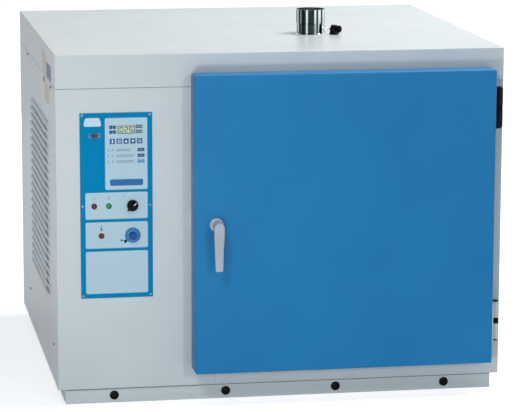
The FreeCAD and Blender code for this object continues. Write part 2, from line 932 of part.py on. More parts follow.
def wire_shelf(level):
    """Wire grid that lies on a pair of ledges: frame ring, cross bars and lengthwise wires."""
    r = shelf_ring_radius
    reach = upright_sheet + shelf_side_gap + r
    x0 = diffuser_face + reach
    x1 = mouth_right - reach
    y0 = liner_front + rail_front_inset + shelf_front_gap
    y1 = liner_back - rail_back_inset - shelf_front_gap
    z = rail_tops()[level] + hole_clearance + r
    corner = shelf_corner_radius
    path = rounded_wire(x0, x1, -y1, -y0, 0, corner)
    path.rotate(V(0, 0, 0), X_AXIS, 90)
    path.translate(V(0, 0, z))
    profile = Part.Wire(Part.Circle(V(x0 + corner, y1, z), X_AXIS, r).toShape())
    bars = []
    for index in range(1, shelf_cross_bars + 1):
        y = y0 + (y1 - y0) * index / (shelf_cross_bars + 1)
        bars.append(rod(shelf_cross_radius, (x0, y, z), (x1, y, z)))
    wire_z = z + shelf_wire_rise
    for index in range(1, shelf_wire_count + 1):
        x = x0 + (x1 - x0) * index / (shelf_wire_count + 1)
        bars.append(rod(shelf_wire_radius, (x, y0, wire_z), (x, y1, wire_z)))
    return path.makePipeShell([profile], True, False).fuse(bars)


def heating_elements():
    """Two tubular rings round the fan wheel, each with two legs out through the wall."""
    leg_end = insulation_left - casing_sheet - heater_leg_reach
    elements = []
    for x, gap, legs in heater_rings():
        edges = []
        ends = [polar(fan_y, fan_z, heater_ring_radius, 180 - side * gap) for side in (1, -1)]
        bends = []
        for (y, z), (leg_y, leg_z) in zip(ends, legs):
            bend_middle = V(
                x - heater_bend_radius * (1 - math.sqrt(0.5)),
                y + (leg_y - y) * math.sqrt(0.5),
                z + (leg_z - z) * math.sqrt(0.5),
            )
            bends.append((V(x, y, z), bend_middle, V(x - heater_bend_radius, leg_y, leg_z)))
        crown = V(x, *polar(fan_y, fan_z, heater_ring_radius, 0))
        right_bend, left_bend = bends
        leg_start = V(leg_end, right_bend[2].y, right_bend[2].z)
        edges.append(Part.LineSegment(leg_start, right_bend[2]).toShape())
        edges.append(Part.Arc(right_bend[2], right_bend[1], right_bend[0]).toShape())
        edges.append(Part.Arc(right_bend[0], crown, left_bend[0]).toShape())
        edges.append(Part.Arc(left_bend[0], left_bend[1], left_bend[2]).toShape())
        edges.append(Part.LineSegment(left_bend[2], V(leg_end, left_bend[2].y, left_bend[2].z)).toShape())
        path = Part.Wire(edges)
        start = V(leg_end, right_bend[2].y, right_bend[2].z)
        profile = Part.Wire(Part.Circle(start, X_AXIS, heater_tube_radius).toShape())
        elements.append(path.makePipeShell([profile], True, False))
    return Part.makeCompound(elements)


def chamber_probes():
    """Control sensor and limiter bulb that reach into the chamber's top left corner."""
    probes = []
    collar = insulation_left - casing_sheet
    for y, z in probe_places():
        stem = rod(probe_radius, (collar - 1, y, z), (liner_left + probe_length_in_chamber, y, z))
        head = rod(probe_head_radius, (collar - probe_head_length, y, z), (collar, y, z))
        probes.append(stem.fuse(head).removeSplitter())
    return Part.makeCompound(probes)


# Fan


def blade():
    """Backward-curved blade standing between the wheel's back plate and ring, at the top."""
    y0, z0 = polar(fan_y, fan_z, blade_inner_radius, 0)
    y1, z1 = polar(fan_y, fan_z, blade_outer_radius, -blade_sweep)
    along = V(0, y1 - y0, z1 - z0)
    normal = V(0, -along.z, along.y)
    normal.normalize()
    x = liner_left + impeller_wall_gap + impeller_sheet
    middle = V(x, (y0 + y1) / 2, (z0 + z1) / 2) + normal * blade_bow
    half = normal * (blade_sheet / 2)
    start, end = V(x, y0, z0), V(x, y1, z1)
    edges = [
        Part.Arc(start + half, middle + half, end + half).toShape(),
        Part.LineSegment(end + half, end - half).toShape(),
        Part.Arc(end - half, middle - half, start - half).toShape(),
        Part.LineSegment(start - half, start + half).toShape(),
    ]
    return Part.Face(Part.Wire(edges)).extrude(V(impeller_width - 2 * impeller_sheet, 0, 0))


def fan_impeller():
    """Centrifugal wheel: back plate with a bored hub, blades that stand on it and an inlet ring."""
    x0 = liner_left + impeller_wall_gap
    x1 = x0 + impeller_width
    centre = (fan_y, fan_z)
    plate = rod(impeller_radius, (x0, *centre), (x0 + impeller_sheet, *centre))
    ring = tube(impeller_radius, impeller_inlet_radius, (x1 - impeller_sheet, *centre), (x1, *centre))
    hub = rod(hub_radius, (x0, *centre), (x0 + hub_length, *centre))
    blades = []
    for index in range(blade_count):
        vane = blade()
        vane.rotate(V(0, *centre), X_AXIS, 360.0 * index / blade_count)
        blades.append(vane)
    bore = rod(shaft_radius + seat_clearance, (x0 - 1, *centre), (x0 + hub_length + 1, *centre))
    return Part.makeCompound([plate.fuse(hub).removeSplitter().cut(bore), ring] + blades)


def fan_shaft():
    """Stepped shaft from the wheel to the motor, with the nut that holds the wheel."""
    wheel_back = liner_left + impeller_wall_gap
    nut_start = wheel_back + hub_length
    motor_face = insulation_left - casing_sheet - motor_standoff - mount_plate
    end = motor_face - shaft_in_motor
    nut_radius = shaft_radius * 1.7
    nut_length = shaft_radius * 1.4
    centre = (fan_y, fan_z)
    shaft = rod(shaft_radius, (end, *centre), (nut_start + nut_length + 2, *centre))
    collar = rod(collar_radius, (wheel_back - 5, *centre), (wheel_back, *centre))
    corners = [V(nut_start, *polar(fan_y, fan_z, nut_radius, 60 * index)) for index in range(7)]
    nut = Part.Face(Part.makePolygon(corners)).extrude(V(nut_length, 0, 0))
    return shaft.fuse([collar, nut]).removeSplitter()


def fan_motor():
    """Closed motor housing with a shaft bore, end shield and cooling ribs."""
    face = insulation_left - casing_sheet - motor_standoff - mount_plate
    rib = 3.0
    profile = [(shaft_radius + running_clearance, 0), (motor_radius + 8, 0), (motor_radius + 8, 6)]
    for index in range(6):
        height = 14 + index * 16
        profile += [(motor_radius - rib, height - 6), (motor_radius - rib, height), (motor_radius, height)]
        profile += [(motor_radius, height + 6)]
    rear = motor_length
    profile += [(motor_radius - rib, rear - 22), (motor_radius - 10, rear), (0, rear)]
    profile += [(0, shaft_in_motor + 2), (shaft_radius + running_clearance, shaft_in_motor + 2)]
    return turned(profile, (face, fan_y, fan_z), (-1, 0, 0))


def motor_mount():
    """Square plate on four spacers that carries the motor clear of the hot wall."""
    wall = insulation_left - casing_sheet
    x1 = wall - motor_standoff
    x0 = x1 - mount_plate
    half = mount_half_width
    plate = box(x0, x1, fan_y - half, fan_y + half, fan_z - half, fan_z + half)
    spacers = []
    for y in (fan_y - mount_spacer_offset, fan_y + mount_spacer_offset):
        for z in (fan_z - mount_spacer_offset, fan_z + mount_spacer_offset):
            spacers.append(rod(mount_spacer_radius, (x1, y, z), (wall, y, z)))
    hole = rod(shaft_hole_radius, (x0 - 1, fan_y, fan_z), (x1 + 1, fan_y, fan_z))
    return plate.fuse(spacers).removeSplitter().cut(hole)


# Flue and damper: the damper's parts are made along X, then turned to the shaft's direction


def turned_to_damper(shape):
    shape.rotate(V(flue_x, flue_y, 0), Z_AXIS, damper_azimuth)
    return shape


def flue_tube():
    """Exhaust tube from the liner's roof, with a welded rim on the lid and a wider end for a duct."""
    neck, sheet = flue_neck_radius, flue_sheet
    z0 = mouth_top + liner_sheet
    z1 = top + flue_height
    spigot = z1 - flue_spigot_length
    swage = spigot - flue_swage
    profile = [
        (neck - sheet, z0),
        (neck, z0),
        (neck, top),
        (neck + flue_rim_width, top),
        (neck, top + flue_rim_height),
        (neck, swage),
        (flue_radius, spigot),
        (flue_radius, z1),
        (flue_radius - sheet, z1),
        (flue_radius - sheet, spigot),
        (neck - sheet, swage),
    ]
    reach = flue_radius + 2
    pivot = rod(
        damper_shaft_radius + running_clearance,
        (flue_x - reach, flue_y, damper_z), (flue_x + reach, flue_y, damper_z),
    )
    return turned(profile, (flue_x, flue_y, 0), (0, 0, 1)).cut(turned_to_damper(pivot))


def damper_bracket_start():
    return flue_x + flue_radius + damper_bracket_gap


def damper_blade():
    """Round flap on a shaft that runs out to the knob."""
    blade_radius = flue_neck_radius - flue_sheet - damper_blade_gap
    half = damper_blade_sheet / 2
    flap = rod(blade_radius, (flue_x, flue_y, damper_z - half), (flue_x, flue_y, damper_z + half))
    end = damper_bracket_start() + damper_bracket_length + damper_knob_length * 0.8
    shaft = rod(damper_shaft_radius, (flue_x - flue_radius - 1, flue_y, damper_z), (end, flue_y, damper_z))
    return turned_to_damper(flap.fuse(shaft))


def damper_bracket():
    """Moulded bearing block for the damper shaft, round over the shaft."""
    x = damper_bracket_start()
    half, crown = damper_bracket_half_width, damper_bracket_top_radius
    foot = 4.0
    edges = [
        Part.LineSegment(V(x, flue_y - half, top), V(x, flue_y + half, top)).toShape(),
        Part.LineSegment(V(x, flue_y + half, top), V(x, flue_y + half, top + foot)).toShape(),
        Part.LineSegment(V(x, flue_y + half, top + foot), V(x, flue_y + crown, damper_z)).toShape(),
        Part.Arc(
            V(x, flue_y + crown, damper_z), V(x, flue_y, damper_z + crown), V(x, flue_y - crown, damper_z)
        ).toShape(),
        Part.LineSegment(V(x, flue_y - crown, damper_z), V(x, flue_y - half, top + foot)).toShape(),
        Part.LineSegment(V(x, flue_y - half, top + foot), V(x, flue_y - half, top)).toShape(),
    ]
    block = Part.Face(Part.Wire(edges)).extrude(V(damper_bracket_length, 0, 0))
    bore_radius = damper_shaft_radius + running_clearance
    bore = rod(bore_radius, (x - 1, flue_y, damper_z), (x + damper_bracket_length + 1, flue_y, damper_z))
    return turned_to_damper(block.cut(bore))


def damper_knob():
    """Lobed knob on the end of the damper shaft."""
    x0 = damper_bracket_start() + damper_bracket_length + slide_clearance
    x1 = x0 + damper_knob_length
    radius = damper_knob_radius
    profile = [
        (0, 0),
        (radius * 0.6, 0),
        (radius, damper_knob_length * 0.35),
        (radius, damper_knob_length * 0.65),
        dome(radius, damper_knob_length * 0.65, damper_knob_length),
    ]
    knob = turned(profile, (x0, flue_y, damper_z), (1, 0, 0))
    flutes = []
    for index in range(damper_knob_lobes):
        y, z = polar(flue_y, damper_z, radius * 1.25, 360.0 * index / damper_knob_lobes)
        flutes.append(rod(radius * 0.45, (x0 - 1, y, z), (x1 + 1, y, z)))
    bore_end = damper_bracket_start() + damper_bracket_length + damper_knob_length * 0.8
    bore_radius = damper_shaft_radius + seat_clearance
    bore = rod(bore_radius, (x0 - 1, flue_y, damper_z), (bore_end, flue_y, damper_z))
    return turned_to_damper(knob.cut(flutes + [bore]))


# Control panel


def fitting_holes(y0, y1):
    """Holes for lamps, bushings, data socket and screws, through the sheets between y0 and y1."""
    holes = []
    for place in (power_lamp_place, heating_lamp_place, limit_lamp_place):
        x, z = on_plate(place)
        holes.append(rod(lamp_body_radius + hole_clearance, (x, y0, z), (x, y1, z)))
    for place in (selector_place, limit_dial_place):
        x, z = on_plate(place)
        holes.append(rod(bushing_radius + hole_clearance, (x, y0, z), (x, y1, z)))
    x, z = on_plate(socket_place)
    half_x, half_z = socket_body[0] / 2 + slide_clearance, socket_body[1] / 2 + slide_clearance
    holes.append(box(x - half_x, x + half_x, y0, y1, z - half_z, z + half_z))
    return holes + [screw_hole(place, (0, -1, 0)) for place in panel_screw_places()]


def display_windows(y0, y1):
    """Window for the readout and a square hole for each key."""
    x, z = on_plate(lcd_place)
    half_x, half_z = lcd_size[0] / 2 + hole_clearance, lcd_size[1] / 2 + hole_clearance
    windows = [box(x - half_x, x + half_x, y0, y1, z - half_z, z + half_z)]
    half = key_size / 2 + hole_clearance
    for x, z in key_places():
        windows.append(box(x - half, x + half, y0, y1, z - half, z + half))
    return windows


def control_plate():
    """Painted plate with its fittings' holes."""
    plate_bottom = plate_top - plate_height
    plate = box(plate_left, plate_left + plate_width, plate_face, front, plate_bottom, plate_top)
    y0, y1 = plate_face - 1, front + 1
    return plate.cut(fitting_holes(y0, y1) + display_windows(y0, y1))


def control_overlays():
    """Pale fields on the control plate: display, switches, limiter and a blank one."""
    y0, y1 = overlay_face - 1, plate_face + 1
    holes = fitting_holes(y0, y1) + display_windows(y0, y1)
    bounds = [
        (display_overlay_left, display_overlay),
        (overlay_left, switch_overlay),
        (overlay_left, limit_overlay),
        (overlay_left, blank_overlay),
    ]
    fields = []
    for start, (drop_start, drop_end) in bounds:
        field = rounded_slab(
            plate_left + start, plate_left + overlay_right,
            plate_top - drop_end, plate_top - drop_start,
            overlay_face, plate_face, overlay_radius,
        )
        fields.append(field.cut(holes))
    return Part.makeCompound(fields)


def display_unit():
    """Circuit board on four posts behind the panel, with the readout that fills its window."""
    x, z = on_plate(display_cutout_centre)
    half_x, half_z = board_width / 2, board_height / 2
    board = box(x - half_x, x + half_x, board_front, board_front + board_sheet, z - half_z, z + half_z)
    posts = []
    for px in (x - half_x + board_post_inset, x + half_x - board_post_inset):
        for pz in (z - half_z + board_post_inset, z + half_z - board_post_inset):
            posts.append(rod(board_post_radius, (px, inner_front, pz), (px, board_front, pz)))
    lcd_x, lcd_z = on_plate(lcd_place)
    lcd = box(
        lcd_x - lcd_size[0] / 2, lcd_x + lcd_size[0] / 2, plate_face, board_front,
        lcd_z - lcd_size[1] / 2, lcd_z + lcd_size[1] / 2,
    )
    return board.fuse(posts + [lcd]).removeSplitter()


def key(index):
    """Square push key with a stem that ends its travel short of the board."""
    x, z = key_places()[index]
    half = key_size / 2
    key_front = overlay_face - key_proud
    key_back = inner_front
    cap = box(x - half, x + half, key_front, key_back, z - half, z + half)
    cap = cap.makeFillet(key_round, edges_on_plane(cap, Y_AXIS, key_front))
    stem = rod(half / 2, (x, key_back, z), (x, board_front - key_travel * 1.25, z))
    return cap.fuse(stem).removeSplitter()


def lamp(place):
    """Signal lamp: barrel through the plate, rim and domed lens."""
    x, z = on_plate(place)
    dome_radius = lamp_radius * 0.72
    profile = [
        (0, -lamp_depth),
        (lamp_body_radius, -lamp_depth),
        (lamp_body_radius, 0),
        (lamp_radius, 0),
        (lamp_radius, lamp_rim),
        (dome_radius, lamp_rim),
        dome(dome_radius, lamp_rim, lamp_rim + lamp_dome),
    ]
    return turned(profile, (x, overlay_face, z), (0, -1, 0))


def red_lamps():
    return Part.makeCompound([lamp(power_lamp_place), lamp(limit_lamp_place)])


def green_lamp():
    return lamp(heating_lamp_place)


def shaft_end():
    return inner_front + control_shaft_depth


def panel_switchgear():
    """Rotary switch and limiter housings behind the panel, each with its bushing and shaft bore."""
    bodies = []
    sx, sz = on_plate(selector_place)
    half = switch_body_size / 2
    switch = box(sx - half, sx + half, inner_front, inner_front + switch_body_depth, sz - half, sz + half)
    dx, dz = on_plate(limit_dial_place)
    limiter_back = inner_front + thermostat_body_depth
    limiter = rod(thermostat_body_radius, (dx, inner_front, dz), (dx, limiter_back, dz))
    for body, x, z in ((switch, sx, sz), (limiter, dx, dz)):
        bushing = rod(bushing_radius, (x, overlay_face, z), (x, inner_front, z))
        bore_radius = control_shaft_radius + running_clearance
        bore = rod(bore_radius, (x, overlay_face - 1, z), (x, shaft_end() + 1, z))
        bodies.append(body.fuse(bushing).removeSplitter().cut(bore))
    return Part.makeCompound(bodies)


def control_shaft(x, z, knob_back):
    return rod(control_shaft_radius, (x, knob_back, z), (x, shaft_end(), z))


def selector_knob():
    """Black pointer knob: round skirt with a tapered grip across it."""
    x, z = on_plate(selector_place)
    back_y = overlay_face - slide_clearance
    skirt = rod(selector_skirt_radius, (x, back_y - selector_skirt_height, z), (x, back_y, z))
    nose, tail, half = selector_nose, selector_tail, selector_grip_half_width
    y = back_y - selector_skirt_height
    corners = [
        V(x + nose, y, z + half * 0.7),
        V(x, y, z + half),
        V(x - tail, y, z),
        V(x, y, z - half),
        V(x + nose, y, z - half * 0.7),
        V(x + nose, y, z + half * 0.7),
    ]
    grip_height = selector_grip_height - selector_skirt_height
    grip = Part.Face(Part.makePolygon(corners)).extrude(V(0, -grip_height, 0))
    foot = Part.Face(Part.makePolygon(corners)).extrude(V(0, selector_skirt_height, 0))
    crown = edges_on_plane(grip, Y_AXIS, back_y - selector_grip_height)
    grip = grip.makeFillet(1.2, crown)
    knob = skirt.fuse([grip, foot]).removeSplitter()
    knob.rotate(V(x, 0, z), Y_AXIS, -selector_angle)
    return knob.fuse(control_shaft(x, z, back_y)).removeSplitter()


def limit_dial():
    """Limiter dial: bevelled skirt for the scale and a fluted hub."""
    x, z = on_plate(limit_dial_place)
    back_y = overlay_face - slide_clearance
    profile = [
        (0, 0),
        (dial_skirt_radius, 0),
        (dial_skirt_radius, dial_skirt_height * 0.4),
        (dial_hub_radius * 1.15, dial_skirt_height),
        (dial_hub_radius, dial_skirt_height),
        (dial_hub_radius * 0.9, dial_hub_height - 1.0),
        (dial_hub_radius * 0.8, dial_hub_height),
        (0, dial_hub_height),
    ]
    dial = turned(profile, (x, back_y, z), (0, -1, 0))
    flutes = []
    for index in range(dial_flutes):
        angle = math.radians(360.0 * index / dial_flutes)
        fx = x + dial_hub_radius * 1.12 * math.cos(angle)
        fz = z + dial_hub_radius * 1.12 * math.sin(angle)
        hub_end, skirt_end = back_y - dial_hub_height - 1, back_y - dial_skirt_height - 1
        flutes.append(rod(2.0, (fx, hub_end, fz), (fx, skirt_end, fz)))
    return dial.cut(flutes).fuse(control_shaft(x, z, back_y)).removeSplitter()


def data_socket():
    """Nine-way socket: flange, tapered shell, body through the plate and two jack screws."""
    x, z = on_plate(socket_place)
    half_x, half_z = socket_flange[0] / 2, socket_flange[1] / 2
    flange = rounded_slab(
        x - half_x, x + half_x, z - half_z, z + half_z, plate_face - socket_flange_sheet, plate_face, 1.5
    )
    shell_x, shell_z = socket_shell[0] / 2, socket_shell[1] / 2
    slope = 1.5
    face = plate_face - socket_flange_sheet
    corners = [
        V(x - shell_x, face, z + shell_z),
        V(x + shell_x, face, z + shell_z),
        V(x + shell_x - slope, face, z - shell_z),
        V(x - shell_x + slope, face, z - shell_z),
        V(x - shell_x, face, z + shell_z),
    ]
    shell = Part.Face(Part.makePolygon(corners)).extrude(V(0, -socket_shell_reach, 0))
    shell = shell.makeFillet(1.2, edges_along(shell, Y_AXIS))
    body = box(
        x - socket_body[0] / 2, x + socket_body[0] / 2, plate_face, plate_face + socket_body_depth,
        z - socket_body[1] / 2, z + socket_body[1] / 2,
    )
    screws = []
    for side in (-1, 1):
        sx = x + side * socket_screw_offset
        screws.append(rod(socket_screw_radius, (sx, face - 3.0, z), (sx, face, z)))
    return flange.fuse([shell, body] + screws).removeSplitter()


def panel_screws():
    return Part.makeCompound([panel_screw(place) for place in panel_screw_places()])


def casing_screws():
    screws = [casing_screw(place, (-1, 0, 0)) for place in side_screw_places(left)]
    screws += [casing_screw(place, (1, 0, 0)) for place in side_screw_places(right)]
    screws += [casing_screw(place, (0, 1, 0)) for place in rear_screw_places()]
    return Part.makeCompound(screws)


def terminal_block():
    """Row of screw terminals on the compartment's inner wall."""
    x1 = insulation_left - casing_sheet
    x0 = x1 - terminal_block_depth
    y1 = bulkhead_back - terminal_rear_inset
    y0 = y1 - terminal_count * terminal_pitch
    z0 = base + terminal_floor_height
    block = box(x0, x1, y0, y1, z0, z0 + terminal_block_height)
    chamfer = 8.0
    long_edges = edges_along(block, Y_AXIS)
    block = block.makeChamfer(chamfer, [e for e in long_edges if abs(e.CenterOfMass.x - x0) < 1e-6])
    wells = []
    for index in range(terminal_count):
        y = y0 + terminal_pitch * (index + 0.5)
        z = z0 + terminal_block_height / 2
        wells.append(box(x0 - 1, x0 + 9, y - 4.5, y + 4.5, z - 6, z + 6))
    return block.cut(wells)


def cable_gland():
    """Cable entry at the back: threaded barrel, lock nut inside, domed nut outside."""
    x, z = left + gland_side_inset, base + gland_floor_height
    inner_nut = 5.0
    nut_radius, thread = gland_nut_radius, gland_thread_radius
    outer = gland_outer_length
    profile = [
        (gland_bore_radius, -gland_inner_length),
        (thread, -gland_inner_length),
        (thread, -casing_sheet - inner_nut),
        (nut_radius, -casing_sheet - inner_nut),
        (nut_radius, -casing_sheet),
        (thread, -casing_sheet),
        (thread, 0),
        (nut_radius, 0),
        (nut_radius, outer * 0.55),
        (thread + 0.8, outer * 0.62),
        (thread + 0.2, outer * 0.85, gland_bore_radius + 1.0, outer),
        (gland_bore_radius, outer),
    ]
    return turned(profile, (x, back, z), (0, 1, 0))


# Door


def door_block(inset):
    """Block in the door's outline, with rounder corners at the handle side than at the hinges."""
    block = box(
        door_left + inset, door_right - inset, door_front + inset, door_back - inset,
        door_bottom + inset, door_top - inset,
    )
    middle = (door_left + door_right) / 2
    handle_side = [e for e in edges_along(block, Y_AXIS) if e.CenterOfMass.x < middle]
    block = block.makeFillet(door_corner_radius - inset, handle_side)
    hinge_side = [e for e in edges_along(block, Y_AXIS) if e.CenterOfMass.x > middle]
    return block.makeFillet(door_hinge_corner_radius - inset, hinge_side)


def door_outer_pan():
    """Blue door skin: a deep tray with soft edges and a return all round at its back."""
    sheet = door_sheet
    outer = door_block(0)
    outer = outer.makeFillet(door_edge_radius, edges_on_plane(outer, Y_AXIS, door_front))
    window = box(
        door_left + door_return, door_right - door_return, door_back - sheet - 1, door_back + 1,
        door_bottom + door_return, door_top - door_return,
    )
    spindle_hole = rod(
        spindle_radius + slide_clearance,
        (handle_x, door_front - 1, handle_z), (handle_x, door_front + sheet + 1, handle_z),
    )
    return outer.cut([door_block(sheet), window, spindle_hole])


def plug_bounds(shrink):
    inset = plug_clearance + shrink
    return (mouth_left + inset, mouth_right - inset, mouth_bottom + inset, mouth_top - inset)


def plug_loft(y0, y1, shrink):
    """Tapered field with round corners between two planes."""
    wires = [
        rounded_wire(*plug_bounds(shrink), y0, plug_corner_radius - shrink),
        rounded_wire(*plug_bounds(shrink + plug_draft), y1, plug_corner_radius - shrink),
    ]
    return Part.makeLoft(wires, True, True)


def door_inner_panel():
    """Stainless inner face with a drawn field that stands just inside the mouth."""
    sheet = liner_sheet
    border = panel_border
    plate = box(
        door_left + border, door_right - border, door_back, door_back + sheet,
        door_bottom + border, door_top - border,
    )
    face = front + plug_reach
    field = plug_loft(door_back + sheet, face, 0)
    hollow = plug_loft(door_back, face - sheet, sheet)
    cutter = rod(
        spindle_radius + slide_clearance,
        (handle_x, door_back - 1, handle_z), (handle_x, door_back + sheet + 1, handle_z),
    )
    return plate.fuse(field).cut([hollow, cutter])


def door_insulation():
    """Wool block that fills the door pan."""
    bore = rod(spindle_radius + 2.0, (handle_x, door_front, handle_z), (handle_x, door_back, handle_z))
    return door_block(door_sheet).cut(bore)


def door_gasket():
    """Silicone seal with a round bulb on a flat foot, run round the mouth."""
    inner_edge = seal_offset
    half = seal_width / 2
    centre = inner_edge + half
    foot_back = door_back + liner_sheet
    bulb_top = front - seal_closing_gap
    x0, x1 = mouth_left - centre, mouth_right + centre
    z0, z1 = mouth_bottom - centre, mouth_top + centre
    path = rounded_wire(x0, x1, z0, z1, foot_back, seal_corner_radius)
    start = V(x0 + seal_corner_radius, foot_back, z0)
    waist = half * 0.8
    points = [
        V(start.x, foot_back, z0 - half),
        V(start.x, foot_back + seal_base, z0 - half),
        V(start.x, foot_back + seal_base, z0 - waist),
        V(start.x, bulb_top, z0),
        V(start.x, foot_back + seal_base, z0 + waist),
        V(start.x, foot_back + seal_base, z0 + half),
        V(start.x, foot_back, z0 + half),
    ]
    edges = [
        Part.LineSegment(points[0], points[1]).toShape(),
        Part.LineSegment(points[1], points[2]).toShape(),
        Part.Arc(points[2], points[3], points[4]).toShape(),
        Part.LineSegment(points[4], points[5]).toShape(),
        Part.LineSegment(points[5], points[6]).toShape(),
        Part.LineSegment(points[6], points[0]).toShape(),
    ]
    return path.makePipeShell([Part.Wire(edges)], True, False)


# Hinges


def casing_leaf(z):
    """Hinge half on the casing: leaf, web and lower knuckle."""
    half = casing_leaf_half_width
    leaf = box(hinge_x - half, hinge_x + half, front - hinge_leaf, front, z, z + hinge_height)
    knuckle = rod(knuckle_radius, (hinge_x, hinge_y, z), (hinge_x, hinge_y, z + knuckle_length))
    web_half = hinge_web / 2
    web = box(hinge_x - web_half, hinge_x + web_half, hinge_y, front - hinge_leaf, z, z + knuckle_length)
    bore_end = z + knuckle_length + 1
    bore = rod(hinge_pin_radius + seat_clearance, (hinge_x, hinge_y, z - 1), (hinge_x, hinge_y, bore_end))
    return leaf.fuse([web, knuckle]).removeSplitter().cut(bore)


def door_leaf(z):
    """Hinge half on the door's edge: leaf, web and upper knuckle."""
    knuckle_bottom = z + hinge_height - knuckle_length
    knuckle_top = z + hinge_height
    leaf_back = door_back - door_leaf_inset
    leaf = box(door_right, door_right + hinge_leaf, leaf_back - door_leaf_depth, leaf_back, z, knuckle_top)
    knuckle = rod(knuckle_radius, (hinge_x, hinge_y, knuckle_bottom), (hinge_x, hinge_y, knuckle_top))
    web_half = hinge_web / 2
    web = box(door_right, hinge_x, hinge_y - web_half, hinge_y + web_half, knuckle_bottom, knuckle_top)
    bore = rod(
        hinge_pin_radius + running_clearance,
        (hinge_x, hinge_y, knuckle_bottom - 1), (hinge_x, hinge_y, knuckle_top + 1),
    )
    return leaf.fuse([web, knuckle]).removeSplitter().cut(bore)


def hinge_pins():
    """Pins with a cap at each end."""
    pins = []
    for z in hinge_bottoms:
        centre = (hinge_x, hinge_y)
        top_cap = z + hinge_height + running_clearance
        pin = rod(hinge_pin_radius, (*centre, z - hinge_cap_height), (*centre, top_cap + hinge_cap_height))
        lower = rod(hinge_cap_radius, (*centre, z - hinge_cap_height), (*centre, z))
        upper = rod(hinge_cap_radius, (*centre, top_cap), (*centre, top_cap + hinge_cap_height))
        pins.append(pin.fuse([lower, upper]).removeSplitter())
    return Part.makeCompound(pins)


def hinge_bushes():
    """Black spacer bushes between the knuckles."""
    bushes = []
    for z in hinge_bottoms:
        low = z + knuckle_length
        high = z + hinge_height - knuckle_length - running_clearance
        ends = (hinge_x, hinge_y, low), (hinge_x, hinge_y, high)
        bushes.append(tube(knuckle_radius - 0.5, hinge_pin_radius + seat_clearance, *ends))
    return Part.makeCompound(bushes)


# Handle and latch


def handle_rosette():
    """Domed collar on the door face round the spindle."""
    bore = spindle_radius + running_clearance
    r, h = rosette_radius, rosette_height
    profile = [(bore, 0), (r, 0), (r, h * 0.35), (r * 0.93, h * 0.8, r * 0.72, h), (bore, h)]
    return turned(profile, (handle_x, door_front, handle_z), (0, -1, 0))


def lever_section(drop):
    """Width, thickness and bow of the lever at a distance below its pivot."""
    share = max(0.0, drop - lever_head_radius) / (lever_length - lever_head_radius)
    width = 2 * lever_head_radius + (lever_tip_width - 2 * lever_head_radius) * share
    thickness = lever_thickness + (lever_tip_thickness - lever_thickness) * share
    bow = 3.0 * math.sin(math.pi * share)
    return width, thickness, bow


def lever_wire(drop):
    """Round-cornered section across the lever."""
    width, thickness, bow = lever_section(drop)
    flat = rounded_wire(-width / 2, width / 2, -thickness / 2, thickness / 2, 0, lever_round)
    flat.rotate(V(0, 0, 0), X_AXIS, 90)
    flat.translate(V(handle_x, lever_y + bow, handle_z - drop))
    return flat


def handle_lever():
    """Hanging lever: neck, round head and a lofted grip that narrows to its tip."""
    drops = [0, lever_head_radius, 0.4 * lever_length, 0.7 * lever_length, lever_length]
    grip = Part.makeLoft([lever_wire(drop) for drop in drops], True, False)
    grip = grip.makeFillet(lever_tip_round, edges_on_plane(grip, Z_AXIS, handle_z - lever_length))
    half = lever_thickness / 2
    head_front, head_back = lever_y - half, lever_y + half
    head = rod(lever_head_radius, (handle_x, head_front, handle_z), (handle_x, head_back, handle_z))
    head = head.makeFillet(lever_round - 0.5, [e for e in head.Edges if isinstance(e.Curve, Part.Circle)])
    neck_start = door_front - rosette_height - slide_clearance
    neck = rod(neck_radius, (handle_x, lever_y, handle_z), (handle_x, neck_start, handle_z))
    bore_radius = spindle_radius + seat_clearance
    bore = rod(bore_radius, (handle_x, lever_y, handle_z), (handle_x, neck_start + 1, handle_z))
    return grip.fuse([head, neck]).cut(bore)


def latch_cam():
    """Spindle through the door with a cam arm that points up when the door is free."""
    spindle = rod(spindle_radius, (handle_x, lever_y + 1, handle_z), (handle_x, cam_back, handle_z))
    y0, y1 = cam_back - cam_thickness, cam_back
    half = cam_half_width
    arm = rounded_slab(
        handle_x - half, handle_x + half, handle_z - half, handle_z + cam_reach, y0, y1, half - 0.01
    )
    hub = rod(half * 1.4, (handle_x, y0, handle_z), (handle_x, y1, handle_z))
    return spindle.fuse([arm, hub])


def latch_keeper():
    """C-shaped catch on the casing, open towards the cam."""
    x0 = door_left + keeper_door_margin
    x1 = x0 + keeper_length
    z0, z1 = handle_z - keeper_half_width, handle_z + keeper_half_width
    face, sheet = front - keeper_height, keeper_sheet
    block = box(x0, x1, face, front, z0, z1)
    pocket = box(x0 + sheet, x1 + 1, face + sheet, front - sheet, z0 - 1, z1 + 1)
    return block.cut(pocket)


# Write every piece

